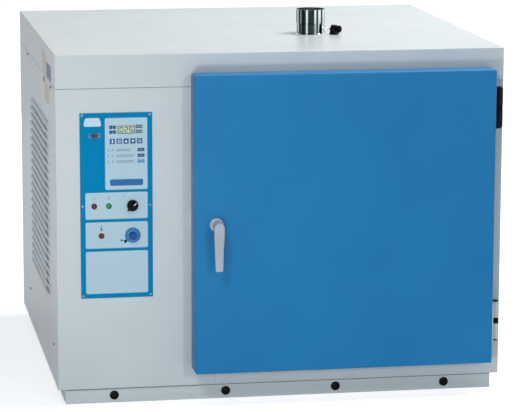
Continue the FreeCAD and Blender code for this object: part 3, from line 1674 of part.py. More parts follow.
nodes = {
    "plinth": plinth,
    "plinth_plugs": plinth_plugs,
    "base_pan": base_pan,
    "top_cover": top_cover,
    "left_side_panel": left_side_panel,
    "right_side_panel": right_side_panel,
    "rear_panel": rear_panel,
    "front_column_panel": front_column_panel,
    "front_sill_panel": front_sill_panel,
    "front_stile_panel": front_stile_panel,
    "throat_frame": throat_frame,
    "chamber_liner": chamber_liner,
    "insulation_slabs": insulation_slabs,
    "insulation_bulkhead": insulation_bulkhead,
    "air_diffuser": air_diffuser,
    "shelf_ladders": shelf_ladders,
    "lower_shelf": lambda: wire_shelf(shelf_used_levels[0]),
    "upper_shelf": lambda: wire_shelf(shelf_used_levels[1]),
    "heating_elements": heating_elements,
    "chamber_probes": chamber_probes,
    "fan_impeller": fan_impeller,
    "fan_shaft": fan_shaft,
    "fan_motor": fan_motor,
    "motor_mount": motor_mount,
    "flue_tube": flue_tube,
    "damper_blade": damper_blade,
    "damper_bracket": damper_bracket,
    "damper_knob": damper_knob,
    "control_plate": control_plate,
    "control_overlays": control_overlays,
    "display_unit": display_unit,
    "red_lamps": red_lamps,
    "green_lamp": green_lamp,
    "panel_switchgear": panel_switchgear,
    "selector_knob": selector_knob,
    "limit_dial": limit_dial,
    "data_socket": data_socket,
    "panel_screws": panel_screws,
    "casing_screws": casing_screws,
    "terminal_block": terminal_block,
    "cable_gland": cable_gland,
    "door_outer_pan": door_outer_pan,
    "door_inner_panel": door_inner_panel,
    "door_insulation": door_insulation,
    "door_gasket": door_gasket,
    "lower_hinge_casing_leaf": lambda: casing_leaf(hinge_bottoms[0]),
    "upper_hinge_casing_leaf": lambda: casing_leaf(hinge_bottoms[1]),
    "lower_hinge_door_leaf": lambda: door_leaf(hinge_bottoms[0]),
    "upper_hinge_door_leaf": lambda: door_leaf(hinge_bottoms[1]),
    "hinge_pins": hinge_pins,
    "hinge_bushes": hinge_bushes,
    "handle_rosette": handle_rosette,
    "handle_lever": handle_lever,
    "latch_cam": latch_cam,
    "latch_keeper": latch_keeper,
}
for number in range(key_count):
    nodes[f"key_{number + 1}"] = lambda index=number: key(index)

os.makedirs("parts", exist_ok=True)
for name, make in nodes.items():
    make().exportStep(f"parts/{name}.step")
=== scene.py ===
import math

import bpy
import bmesh
from mathutils import Matrix, Vector


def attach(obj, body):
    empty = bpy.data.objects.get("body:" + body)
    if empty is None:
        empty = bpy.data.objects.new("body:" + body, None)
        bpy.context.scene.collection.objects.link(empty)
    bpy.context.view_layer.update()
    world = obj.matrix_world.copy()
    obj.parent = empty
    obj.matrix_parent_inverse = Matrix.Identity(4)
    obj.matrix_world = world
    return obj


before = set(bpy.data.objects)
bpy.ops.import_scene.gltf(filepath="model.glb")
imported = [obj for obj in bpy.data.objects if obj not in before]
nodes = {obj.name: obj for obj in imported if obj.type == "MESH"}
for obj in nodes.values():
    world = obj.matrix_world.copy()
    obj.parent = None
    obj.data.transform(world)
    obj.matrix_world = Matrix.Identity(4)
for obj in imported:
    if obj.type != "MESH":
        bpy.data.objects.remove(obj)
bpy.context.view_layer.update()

MM = 0.001

# Planes and places on the front, in millimetres of the part's frame
CASING_FRONT = -530.0
PLATE_FACE = -532.0
FIELD_FACE = -532.4
CASING_HALF = 585.0
PLATE_LEFT, PLATE_TOP = -523.5, 761.5
DIAL_GRIP_FACE = -540.0

# Flue: its axis in metres, and the reach from it that is still inside the tube
FLUE_AXIS = (0.148, -0.143, 0.0)
FLUE_INNER_REACH = 0.0378

# Prints and films are drawn this thick and this far off the surface that they lie on
PRINT_THICK = 0.15
PRINT_LIFT = 0.05


# Colours and materials


def linear(hex_colour):
    """sRGB hex colour as linear RGBA."""
    channels = [int(hex_colour[i:i + 2], 16) / 255 for i in (1, 3, 5)]
    return [c / 12.92 if c <= 0.04045 else ((c + 0.055) / 1.055) ** 2.4 for c in channels] + [1.0]


def add(tree, kind, inputs=(), **settings):
    """Adds a node with its settings, and links or sets its inputs."""
    node = tree.nodes.new(kind)
    for name, value in settings.items():
        setattr(node, name, value)
    for name, value in dict(inputs).items():
        if isinstance(value, bpy.types.NodeSocket):
            tree.links.new(value, node.inputs[name])
        else:
            node.inputs[name].default_value = value
    return node


def start(name):
    """New material with an empty tree, and its object coordinates in metres."""
    material = bpy.data.materials.new(name)
    material.use_nodes = True
    tree = material.node_tree
    tree.nodes.clear()
    place = add(tree, "ShaderNodeTexCoord").outputs["Object"]
    return material, tree, place


def close(tree, shader):
    add(tree, "ShaderNodeOutputMaterial", {"Surface": shader.outputs[0]})


def grain(tree, place, size_mm, detail=2.0, stretch=(1, 1, 1)):
    """Noise whose cells are about size_mm across, stretched along an axis."""
    spread = [1 / (size_mm * MM * s) for s in stretch]
    scaled = add(tree, "ShaderNodeMapping", {"Vector": place, "Scale": spread}).outputs[0]
    return add(tree, "ShaderNodeTexNoise", {"Vector": scaled, "Scale": 1.0, "Detail": detail}).outputs["Fac"]


def shift(tree, value, low, high):
    """Spreads a 0 to 1 noise between two numbers."""
    return add(tree, "ShaderNodeMapRange", {"Value": value, "To Min": low, "To Max": high}).outputs[0]


def tint(tree, value, dark, light):
    """Colour that wanders between two hex colours."""
    ramp = add(tree, "ShaderNodeValToRGB", {"Fac": value})
    ramp.color_ramp.elements[0].position = 0.3
    ramp.color_ramp.elements[1].position = 0.7
    ramp.color_ramp.elements[0].color = linear(dark)
    ramp.color_ramp.elements[1].color = linear(light)
    return ramp.outputs["Color"]


def blend(tree, factor, first, second):
    """Colour that goes from the first at factor 0 to the second at factor 1."""
    mix = add(tree, "ShaderNodeMix", {"Factor": factor, "A": first, "B": second}, data_type="RGBA")
    return mix.outputs["Result"]


def relief(tree, height, strength, depth_mm):
    """Normal of a surface on which the noise stands depth_mm high."""
    bump = add(tree, "ShaderNodeBump", {"Height": height, "Strength": strength, "Distance": depth_mm * MM})
    return bump.outputs[0]


def baked_enamel(name, dark, light, peel_mm=3.0, roughness=(0.30, 0.38), ior=1.42):
    """Enamel, lacquer or matt film: even colour, soft gloss and a faint orange peel."""
    material, tree, place = start(name)
    colour = tint(tree, grain(tree, place, 180), dark, light)
    rough = shift(tree, grain(tree, place, 60), *roughness)
    peel = grain(tree, place, peel_mm)
    close(tree, add(tree, "ShaderNodeBsdfPrincipled", {
        "Base Color": colour, "Roughness": rough, "Normal": relief(tree, peel, 0.35, 0.04), "IOR": ior,
    }))
    return material


def brushed_stainless(name, dark, light, along, roughness=(0.26, 0.40)):
    """Brushed stainless sheet: fine scratches along one axis that stretch its highlights.

    Real scratches are about 0.05 mm wide; they are drawn 1 mm wide to show.
    """
    material, tree, place = start(name)
    stretch = [1, 1, 1]
    stretch[along] = 90
    scratch = grain(tree, place, 1.0, 3.0, stretch)
    colour = tint(tree, scratch, dark, light)
    rough = shift(tree, scratch, *roughness)
    close(tree, add(tree, "ShaderNodeBsdfPrincipled", {
        "Base Color": colour, "Metallic": 1.0, "Roughness": rough,
        "Normal": relief(tree, scratch, 0.2, 0.04),
    }))
    return material


def tube_with_painted_reflections(name, dark, middle, bright):
    """Polished thin tube with its room reflection painted into its colour: dark fields with narrow bright
    streaks along it.

    The painted reflection streaks are about 4 mm wide and run the whole length; the inside is bare bright
    steel.
    """
    material, tree, place = start(name)
    field = grain(tree, place, 9.0, 1.0, (1, 1, 400))
    # Painted reflection: dark fields and bright streaks of the room drawn into the metal's base colour
    ramp = add(tree, "ShaderNodeValToRGB", {"Fac": field})
    first, second = ramp.color_ramp.elements
    first.position, first.color = 0.30, linear(dark)
    second.position, second.color = 0.53, linear(middle)
    ramp.color_ramp.elements.new(0.60).color = linear(bright)
    axis = add(tree, "ShaderNodeVectorMath", {0: place, 1: FLUE_AXIS}, operation="SUBTRACT").outputs[0]
    flat = add(tree, "ShaderNodeVectorMath", {0: axis, 1: (1, 1, 0)}, operation="MULTIPLY").outputs[0]
    reach = add(tree, "ShaderNodeVectorMath", {0: flat}, operation="LENGTH").outputs["Value"]
    within = add(tree, "ShaderNodeMath", {0: reach, 1: FLUE_INNER_REACH}, operation="LESS_THAN").outputs[0]
    bare = tint(tree, field, "#B9BFC2", "#D5DADC")
    painted_reflection_skin = blend(tree, within, ramp.outputs["Color"], bare)
    haze = grain(tree, place, 25, 3.0)
    close(tree, add(tree, "ShaderNodeBsdfPrincipled", {
        "Base Color": painted_reflection_skin, "Metallic": 1.0, "Roughness": shift(tree, haze, 0.10, 0.18),
    }))
    return material


def bright_metal(name, dark, light, blotch_mm, roughness):
    """Plated, ground, pressed or tinted metal with a slightly uneven polish."""
    material, tree, place = start(name)
    blotch = grain(tree, place, blotch_mm, 3.0)
    colour = tint(tree, blotch, dark, light)
    rough = shift(tree, grain(tree, place, blotch_mm / 3, 3.0), *roughness)
    close(tree, add(tree, "ShaderNodeBsdfPrincipled", {
        "Base Color": colour, "Metallic": 1.0, "Roughness": rough,
    }))
    return material


def moulded_plastic(name, dark, light, spark_mm=0.6, roughness=(0.4, 0.5), ior=1.47):
    """Moulded plastic with the fine spark-eroded texture of its mould."""
    material, tree, place = start(name)
    colour = tint(tree, grain(tree, place, 12), dark, light)
    rough = shift(tree, grain(tree, place, 4), *roughness)
    spark = grain(tree, place, spark_mm)
    close(tree, add(tree, "ShaderNodeBsdfPrincipled", {
        "Base Color": colour, "Roughness": rough, "Normal": relief(tree, spark, 0.3, 0.03), "IOR": ior,
    }))
    return material


def two_depth_plastic(name, dark, light, cap, cap_face):
    """Moulded dial: pale printed skirt, and a deeper colour on the grip that stands before cap_face."""
    material, tree, place = start(name)
    colour = tint(tree, grain(tree, place, 12), dark, light)
    depth = add(tree, "ShaderNodeSeparateXYZ", {"Vector": place}).outputs["Y"]
    before = add(tree, "ShaderNodeMath", {0: depth, 1: cap_face * MM}, operation="LESS_THAN").outputs[0]
    deep = tint(tree, grain(tree, place, 6), cap, cap)
    both = blend(tree, before, colour, deep)
    rough = shift(tree, grain(tree, place, 4), 0.38, 0.46)
    close(tree, add(tree, "ShaderNodeBsdfPrincipled", {"Base Color": both, "Roughness": rough, "IOR": 1.25}))
    return material


def lens_plastic(name, dark, light):
    """Translucent acrylic lens: deep colour, clear gloss, light carried under its skin."""
    material, tree, place = start(name)
    colour = tint(tree, grain(tree, place, 5), dark, light)
    close(tree, add(tree, "ShaderNodeBsdfPrincipled", {
        "Base Color": colour, "Roughness": 0.16, "IOR": 1.4,
        "Subsurface Weight": 0.2, "Subsurface Radius": (0.002, 0.001, 0.001), "Subsurface Scale": 1.0,
    }))
    return material


def mineral_wool(name):
    """Pressed mineral wool: felted fibres 30 mm long, yellow-brown, quite matt."""
    material, tree, place = start(name)
    fibre = grain(tree, place, 2.0, 6.0, (12, 1, 1))
    colour = tint(tree, fibre, "#8C7A4C", "#C2B280")
    close(tree, add(tree, "ShaderNodeBsdfPrincipled", {
        "Base Color": colour, "Roughness": 0.95, "Normal": relief(tree, fibre, 0.9, 1.2),
    }))
    return material


def silicone(name, dark, light):
    """Extruded silicone seal, also drawn as grey strips of painted seam shade: matt and faintly dusty."""
    material, tree, place = start(name)
    dust = grain(tree, place, 9, 4.0)
    colour = tint(tree, dust, dark, light)
    close(tree, add(tree, "ShaderNodeBsdfPrincipled", {
        "Base Color": colour, "Roughness": shift(tree, dust, 0.55, 0.75), "IOR": 1.43,
        "Subsurface Weight": 0.1, "Subsurface Radius": (0.003, 0.003, 0.002), "Subsurface Scale": 1.0,
    }))
    return material


def printed_ink(name, dark, light):
    """Screen-printed ink: thin and slightly uneven in its cover."""
    material, tree, place = start(name)
    cover = grain(tree, place, 1.5, 3.0)
    colour = tint(tree, cover, dark, light)
    close(tree, add(tree, "ShaderNodeBsdfPrincipled", {
        "Base Color": colour, "Roughness": shift(tree, cover, 0.45, 0.55), "IOR": 1.35,
    }))
    return material


casing_enamel_and_painted_hinge_reflection = baked_enamel("pale_grey_enamel_and_painted_hinge_reflection", "#BDC6C9", "#C2CBCE")
door_enamel = baked_enamel("mid_blue_enamel", "#1072AA", "#1476AE", roughness=(0.32, 0.40), ior=1.28)
panel_enamel = baked_enamel("bright_blue_satin_enamel", "#007EB0", "#0082B4", 1.5, (0.46, 0.52), ior=1.1)
field_film = baked_enamel("pale_blue_matt_film", "#ABC7D3", "#B0CBD6", 0.8, (0.50, 0.58), ior=1.3)
lining_steel = brushed_stainless("brushed_stainless_lining", "#9A9DA0", "#B2B5B7", 1, (0.36, 0.50))
door_lining_steel = brushed_stainless("brushed_stainless_door_lining", "#9A9DA0", "#B2B5B7", 2, (0.36, 0.50))
wall_steel = brushed_stainless("brushed_stainless_inner_wall", "#A4A7A9", "#C0C2C4", 2)
# Flue steel with painted reflections
flue_steel_painted_reflections = tube_with_painted_reflections("polished_stainless_flue_painted_reflections", "#18211F", "#3A4544", "#E6ECEE")
wire_steel = bright_metal("electropolished_wire", "#B0B2B4", "#C8CACB", 8, (0.18, 0.30))
wheel_steel = bright_metal("pressed_stainless_wheel", "#9EA1A3", "#B8BBBD", 14, (0.28, 0.42))
heater_steel = bright_metal("heat_tinted_heater_sheath", "#4A3F38", "#7A6C60", 11, (0.45, 0.62))
zinc_plate = bright_metal("zinc_plated_steel", "#9A9D9C", "#BDBFBC", 7, (0.30, 0.48))
# Zinc darkened to a deep blue-grey on the socket's shell and contacts: painted shade
zinc_with_painted_shade = bright_metal("zinc_shell_with_painted_shade", "#3C5A6C", "#48687A", 3, (0.44, 0.56))
ground_steel = bright_metal("ground_steel", "#B2B4B6", "#C6C8CA", 5, (0.15, 0.25))
nickel_plate = bright_metal("nickel_plated_screw", "#7C93A1", "#8FA5B2", 2, (0.34, 0.46))
silver_lacquer = baked_enamel("silver_lacquered_alloy", "#A0AAB2", "#A9B3BA", 1.0, (0.32, 0.42))
black_moulding = moulded_plastic("black_moulded_nylon", "#030304", "#070709", ior=1.16)
# Black enamel of the hinge pins, also the painted dark reflection on the upper hinge's leaves
black_enamel_and_painted_dark_reflection = baked_enamel("black_enamel_and_painted_dark_reflection", "#050607", "#0A0B0D", peel_mm=2.0, ior=1.2)
blackened_steel = bright_metal("blackened_steel", "#15171A", "#26292D", 3, (0.35, 0.50))
key_plastic = moulded_plastic("dark_blue_key_plastic", "#144C84", "#1A5690", spark_mm=0.4)
dial_plastic = two_depth_plastic("blue_dial_plastic", "#3A84BE", "#4690C8", "#0F4C8C", DIAL_GRIP_FACE)
red_lens = lens_plastic("red_acrylic_lens", "#4E0A1C", "#6A0F26")
green_lens = lens_plastic("green_acrylic_lens", "#047842", "#088F50")
board_laminate = moulded_plastic("green_board_laminate", "#1F5A34", "#2A6E42", roughness=(0.3, 0.4))
ivory_plastic = moulded_plastic("ivory_terminal_plastic", "#CFC8AE", "#DAD4BC")
motor_enamel = baked_enamel("dark_grey_motor_enamel", "#363C42", "#40474E", peel_mm=2.0)
slab_wool = mineral_wool("felted_mineral_wool")
seal_silicone = silicone("pale_silicone_seal", "#B9B7AE", "#CFCDC4")
dark_ink = printed_ink("dark_blue_ink", "#0E3F68", "#164A76")
grey_ink = printed_ink("grey_ink", "#7489A0", "#8498AD")
bar_ink = printed_ink("mid_blue_ink", "#0C5C9E", "#1265A8")
light_ink = printed_ink("light_blue_ink", "#4A7FB4", "#588CBF")
white_ink = printed_ink("white_ink", "#D6E4F0", "#E4EEF6")
badge_film = printed_ink("pale_badge_film", "#B8D2E0", "#C4DCE8")
label_paper = printed_ink("faded_label_paper", "#EBE0CC", "#F2E9D8")
plate_ink = printed_ink("slate_blue_plate_ink", "#52658A", "#5C7096")
mark_ink = printed_ink("dark_green_grey_ink", "#4A5B58", "#5A6B68")
readout_film = printed_ink("readout_green_film", "#B2C8A6", "#C6D8BA")
segment_ink = printed_ink("readout_segment", "#2E3A2C", "#3A4736")
# Black of the readout frame, socket insert and dial marker, also used as painted shade in the screws' cross
# recesses
black_film_and_painted_shade = printed_ink("black_film_and_painted_recess_shade", "#08090A", "#0E0F11")
# Grey of the painted shade in the lid's seam and under the casing
seam_painted_shade = silicone("grey_painted_seam_shade", "#6E7A82", "#7C8890")

finishes = {
    casing_enamel_and_painted_hinge_reflection: ("plinth", "base_pan", "top_cover", "left_side_panel", "right_side_panel", "rear_panel",
                    "front_column_panel", "front_sill_panel", "front_stile_panel",
                    # The lower hinge's leaves in the pale casing enamel: a painted light reflection, as the
                    # two hinges are alike
                    "lower_hinge_casing_leaf", "lower_hinge_door_leaf"),
    door_enamel: ("door_outer_pan",),
    panel_enamel: ("control_plate",),
    field_film: ("control_overlays",),
    lining_steel: ("chamber_liner", "throat_frame", "shelf_ladders"),
    door_lining_steel: ("door_inner_panel",),
    wall_steel: ("air_diffuser", "chamber_probes"),
    flue_steel_painted_reflections: ("flue_tube", "damper_blade"),
    wire_steel: ("lower_shelf", "upper_shelf"),
    wheel_steel: ("fan_impeller",),
    heater_steel: ("heating_elements",),
    zinc_plate: ("insulation_bulkhead", "motor_mount", "latch_cam", "latch_keeper"),
    zinc_with_painted_shade: ("data_socket",),
    ground_steel: ("fan_shaft",),
    nickel_plate: ("panel_screws",),
    blackened_steel: ("casing_screws",),
    silver_lacquer: ("handle_lever", "handle_rosette"),
    black_moulding: ("plinth_plugs", "damper_bracket", "damper_knob", "selector_knob", "panel_switchgear",
                     "cable_gland", "hinge_bushes"),
    # The upper hinge's leaves in black: a painted dark reflection, as the two hinges are alike
    black_enamel_and_painted_dark_reflection: ("upper_hinge_casing_leaf", "upper_hinge_door_leaf", "hinge_pins"),
    key_plastic: tuple(f"key_{n}" for n in range(1, 6)),
    dial_plastic: ("limit_dial",),
    red_lens: ("red_lamps",),
    green_lens: ("green_lamp",),
    board_laminate: ("display_unit",),
    ivory_plastic: ("terminal_block",),
    motor_enamel: ("fan_motor",),
    slab_wool: ("insulation_slabs", "door_insulation"),
    seal_silicone: ("door_gasket",),
}
for finish, names in finishes.items():
    for node_name in names:
        mesh = nodes[node_name].data
        mesh.materials.clear()
        mesh.materials.append(finish)


# Flat pieces on the front face, in millimetres: X to the right and Z up, lifted towards -Y


def thin_sheet(mesh, corners, push):
    """Adds a closed sheet to the mesh: a flat face through the corners, pushed out by a vector."""
    sheet = mesh.faces.new([mesh.verts.new(corner) for corner in corners])
    pushed = bmesh.ops.extrude_face_region(mesh, geom=[sheet])
    moved = [v for v in pushed["geom"] if isinstance(v, bmesh.types.BMVert)]
    bmesh.ops.translate(mesh, verts=moved, vec=push)


def film(name, outlines, face, material, body="cabinet", thick=PRINT_THICK, lift=PRINT_LIFT):
    """One piece made of flat outlines that lie on the plane y = face and have a small thickness."""
    mesh = bmesh.new()
    for outline in outlines:
        corners = [(x * MM, (face - lift) * MM, z * MM) for x, z in outline]
        thin_sheet(mesh, corners, (0, -thick * MM, 0))
    return finished(name, mesh, material, body)


def side_film(name, outline, material, thick, side=-1):
    """Flat piece on the casing's left (-1) or right (1) side, from (y, z) points in millimetres."""
    mesh = bmesh.new()
    face = side * (CASING_HALF + PRINT_LIFT)
    thin_sheet(mesh, [(face * MM, y * MM, z * MM) for y, z in outline], (side * thick * MM, 0, 0))
    return finished(name, mesh, material, "cabinet")


def finished(name, mesh, material, body):
    """Turns mesh code into a piece that rides on a body."""
    bmesh.ops.recalc_face_normals(mesh, faces=mesh.faces)
    data = bpy.data.meshes.new(name)
    mesh.to_mesh(data)
    mesh.free()
    data.materials.append(material)
    piece = bpy.data.objects.new(name, data)
    bpy.context.scene.collection.objects.link(piece)
    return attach(piece, body)


def rectangle(cx, cz, width, height):
    w, h = width / 2, height / 2
    return [(cx - w, cz - h), (cx + w, cz - h), (cx + w, cz + h), (cx - w, cz + h)]


def round_rectangle(cx, cz, width, height, radius, steps=6):
    corners = [
        (cx + width / 2 - radius, cz + height / 2 - radius, 0),
        (cx - width / 2 + radius, cz + height / 2 - radius, 90),
        (cx - width / 2 + radius, cz - height / 2 + radius, 180),
        (cx + width / 2 - radius, cz - height / 2 + radius, 270),
    ]
    points = []
    for x, z, first in corners:
        for step in range(steps + 1):
            angle = math.radians(first + 90 * step / steps)
            points.append((x + radius * math.cos(angle), z + radius * math.sin(angle)))
    return points


def rounded_trapezoid(cx, z_low, z_high, low_width, high_width, radius, steps=5):
    """Symmetric trapezoid with round corners, as points round its outline."""
    lean = math.atan2(z_high - z_low, (low_width - high_width) / 2)
    corners = []
    for x, z, inside, first in (
        (low_width / 2, z_low, lean, -90.0),
        (high_width / 2, z_high, math.pi - lean, 90.0 - math.degrees(lean)),
    ):
        back = radius / math.tan(inside / 2)
        middle_z = z + radius if z == z_low else z - radius
        corners.append((x - back, middle_z, first, 180.0 - math.degrees(inside)))
    right = []
    for x, z, first, sweep in corners:
        for step in range(steps + 1):
            angle = math.radians(first + sweep * step / steps)
            right.append((x + radius * math.cos(angle), z + radius * math.sin(angle)))
    return [(cx + x, z) for x, z in right] + [(cx - x, z) for x, z in reversed(right)]


def disc(cx, cz, radius, steps=24):
    angles = [2 * math.pi * n / steps for n in range(steps)]
    return [(cx + radius * math.cos(a), cz + radius * math.sin(a)) for a in angles]


def bar(x0, z0, x1, z1, width):
    """Rectangle along a line."""
    along = Vector((x1 - x0, z1 - z0)).normalized()
    side = Vector((-along.y, along.x)) * width / 2
    a, b = Vector((x0, z0)), Vector((x1, z1))
    return [tuple(a - side), tuple(b - side), tuple(b + side), tuple(a + side)]


def numerals(name, text, x, z, height, face, material, body="cabinet"):
    """Generic numbers drawn with the built-in letters, centred on a place on the front face."""
    curve = bpy.data.curves.new(name, "FONT")
    curve.body = text
    curve.align_x = "CENTER"
    curve.align_y = "CENTER"
    curve.size = height * MM
    curve.extrude = PRINT_THICK * MM / 2
    piece = bpy.data.objects.new(name, curve)
    bpy.context.scene.collection.objects.link(piece)
    curve.materials.append(material)
    piece.matrix_world = (
        Matrix.Translation(Vector((x, face - PRINT_LIFT - PRINT_THICK / 2, z)) * MM)
        @ Matrix.Rotation(math.radians(90), 4, "X")
    )
    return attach(piece, body)


# Readout: seven-segment digits on a greenish film with a dark frame

READOUT = (-404.5, 717.5)
READOUT_SIZE = (43.0, 20.0)
GLASS_SIZE = (39.5, 17.0)
DIGIT_WIDTH, DIGIT_HEIGHT, DIGIT_STROKE = 7.4, 12.0, 1.9
DIGIT_OFFSETS = {"0": -12.0, "2": 0.0, "5": 12.0}
LAYER = 0.2
DIGIT_SEGMENTS = {"0": "abcdef", "2": "abged", "5": "afgcd"}


def digit_bars(symbol, cx, cz, width, height, stroke):
    """Outlines of one seven-segment digit."""
    w, h, gap = width / 2, height / 2, stroke * 0.2
    places = {
        "a": (cx - w + gap, cz + h, cx + w - gap, cz + h),
        "g": (cx - w + gap, cz, cx + w - gap, cz),
        "d": (cx - w + gap, cz - h, cx + w - gap, cz - h),
        "f": (cx - w, cz + gap, cx - w, cz + h - gap),
        "b": (cx + w, cz + gap, cx + w, cz + h - gap),
        "e": (cx - w, cz - h + gap, cx - w, cz - gap),
        "c": (cx + w, cz - h + gap, cx + w, cz - gap),
    }
    return [bar(*places[segment], stroke) for segment in DIGIT_SEGMENTS[symbol]]


film("readout_frame", [rectangle(*READOUT, *READOUT_SIZE)], PLATE_FACE, black_film_and_painted_shade)
film("readout_glass", [rectangle(*READOUT, *GLASS_SIZE)], PLATE_FACE - LAYER, readout_film)
digits = []
for symbol, offset in DIGIT_OFFSETS.items():
    digits += digit_bars(
        symbol, READOUT[0] + offset, READOUT[1], DIGIT_WIDTH, DIGIT_HEIGHT, DIGIT_STROKE,
    )
film("readout_digits", digits, PLATE_FACE - 0.36, segment_ink)

# Keys: white symbols on their caps

KEY_X = (-440.0, -422.5, -405.0, -387.5, -370.0)
KEY_Z = 688.0
KEY_FACE = -533.6
key_symbols = [
    [rectangle(KEY_X[0], KEY_Z, 3.2, 7.5)],
    [rectangle(KEY_X[1] - 2.6, KEY_Z, 1.2, 7.2), rectangle(KEY_X[1] + 2.6, KEY_Z, 1.2, 7.2),
     rectangle(KEY_X[1], KEY_Z + 3.0, 4.0, 1.2), rectangle(KEY_X[1], KEY_Z - 3.0, 4.0, 1.2)],
    [[(KEY_X[2] - 3.6, KEY_Z - 2.6), (KEY_X[2] + 3.6, KEY_Z - 2.6), (KEY_X[2], KEY_Z + 3.2)]],
    [[(KEY_X[3] - 3.6, KEY_Z + 2.6), (KEY_X[3], KEY_Z - 3.2), (KEY_X[3] + 3.6, KEY_Z + 2.6)]],
    [rectangle(KEY_X[4], KEY_Z + 2.2, 6.5, 1.4), rectangle(KEY_X[4], KEY_Z - 2.2, 6.5, 1.4)],
]
for number, outlines in enumerate(key_symbols, 1):
    film(f"key_symbol_{number}", outlines, KEY_FACE, white_ink, f"key_body_{number}")

# Prints on the display field

STATE_PLACES = ((-439.4, 724.4), (-439.4, 712.0), (-371.7, 725.2), (-371.7, 712.4))
STATE_PAIR = (-4.5, 4.5)
film("state_marks", [
    round_rectangle(x + side, z, 8.3, 8.8, 2.0) for x, z in STATE_PLACES for side in STATE_PAIR
], FIELD_FACE, dark_ink)
film("state_marks_open", [
    round_rectangle(x + side, z, 4.0, 3.0, 0.8) for x, z in STATE_PLACES[2:] for side in STATE_PAIR
], FIELD_FACE - LAYER, field_film)
film("state_marks_strokes", [
    rectangle(x + side, z, 3.4, 0.8) for x, z in STATE_PLACES[:2] for side in STATE_PAIR
], FIELD_FACE - LAYER, light_ink)
ROW_Z = (665.3, 650.6, 635.5)
TAG_X = -366.8
TAG_PAIR = (-4.6, 4.6)
TAG_SHAPE = (8.6, 8.8, 2.0)
film("row_tags_dark", [
    round_rectangle(TAG_X + side, z, *TAG_SHAPE) for z in ROW_Z[:2] for side in TAG_PAIR
], FIELD_FACE, dark_ink)
film("row_tags_light", [
    round_rectangle(TAG_X + side, ROW_Z[2], *TAG_SHAPE) for side in TAG_PAIR
], FIELD_FACE, light_ink)
film("row_tag_strokes", [
    rectangle(TAG_X + side, z, 3.2, 0.9) for z in ROW_Z for side in TAG_PAIR
], FIELD_FACE - LAYER, field_film)
film("row_lines", [
    rectangle(x + slip, z + rise, width, 1.9)
    for z, width, x in ((ROW_Z[0], 38.0, -411.0), (ROW_Z[1], 46.0, -407.0), (ROW_Z[2], 46.0, -407.0))
    for slip, rise in ((0.0, 1.9), (-2.0, -1.9))
] + [rectangle(x, z, 2.6, 7.0) for z in ROW_Z for x in (-451.0, -440.5)], FIELD_FACE, grey_ink)
film("lower_bar", [round_rectangle(-404.2, 581.5, 85.0, 16.5, 4.0)], FIELD_FACE, bar_ink)
film("corner_badge", [rounded_trapezoid(-491.0, 727.1, 749.2, 47.5, 36.5, 5.5)], PLATE_FACE, badge_film)

# Prints on the switch field and the limiter field

numerals("switch_zero", "0", -413.0, 546.2, 7.0, FIELD_FACE, grey_ink)
numerals("switch_one", "1", -369.5, 545.6, 7.0, FIELD_FACE, grey_ink)
film("power_mark", [bar(-487.9, 541.0, -487.9, 547.5, 1.2), disc(-487.9, 538.5, 1.4)], FIELD_FACE, grey_ink)
film("heating_mark", [bar(x, 538.0, x, 546.0, 1.0) for x in (-453.0, -450.5, -448.0)], FIELD_FACE, grey_ink)
film("limit_mark", [bar(-470.0, 462.0, -470.0, 470.5, 1.4), disc(-470.0, 460.0, 2.4)], FIELD_FACE, dark_ink)

# Selector: white pointer line on the grip

SELECTOR = (-389.5, 521.0)
SELECTOR_FACE = -548.9
film("selector_line", [bar(SELECTOR[0] + 1.8, SELECTOR[1] + 1.8, SELECTOR[0] + 8.2, SELECTOR[1] + 8.2, 1.8)],
     SELECTOR_FACE, white_ink, "selector")

# Limiter dial: scale on the skirt, stop and marker beside it

DIAL = (-389.5, 443.5)
DIAL_FACE = -532.9 - 4.0 * 0.4
TICKS, TICK_START, TICK_PITCH = 13, 225, 22.5
TICK_LONG, TICK_SHORT, TICK_REACH, TICK_WIDTH = 14.0, 15.0, 19.4, 2.2
ticks = []
for index in range(TICKS):
    angle = math.radians(TICK_START - TICK_PITCH * index)
    inner = TICK_LONG if index % 2 == 0 else TICK_SHORT
    ticks.append(bar(
        DIAL[0] + inner * math.cos(angle), DIAL[1] + inner * math.sin(angle),
        DIAL[0] + TICK_REACH * math.cos(angle), DIAL[1] + TICK_REACH * math.sin(angle), TICK_WIDTH,
    ))
film("dial_scale", ticks, DIAL_FACE - 1.6, dark_ink, "limiter_dial", thick=1.0)
film("dial_marker", [[(-420.5, 433.5), (-413.0, 430.8), (-420.5, 428.0)]], FIELD_FACE, black_film_and_painted_shade)
film("dial_stop", [disc(-408.5, 428.5, 3.6)], FIELD_FACE, black_moulding, thick=4.0)

# Data socket: black insert with nine contacts

SOCKET = (-486.0, 703.5)
SOCKET_FACE = -538.3
film("socket_insert", [[
    (SOCKET[0] - 8.4, SOCKET[1] + 4.0), (SOCKET[0] + 8.4, SOCKET[1] + 4.0),
    (SOCKET[0] + 7.0, SOCKET[1] - 4.0), (SOCKET[0] - 7.0, SOCKET[1] - 4.0),
]], SOCKET_FACE, black_film_and_painted_shade)
film("socket_contacts", [disc(SOCKET[0] - 5.5 + 2.75 * n, SOCKET[1] + 1.4, 0.55, 10) for n in range(5)]
     + [disc(SOCKET[0] - 4.1 + 2.75 * n, SOCKET[1] - 1.4, 0.55, 10) for n in range(4)],
     SOCKET_FACE - 0.15, zinc_with_painted_shade)


# Cross recesses of the panel screws, drawn as black crosses of painted shade

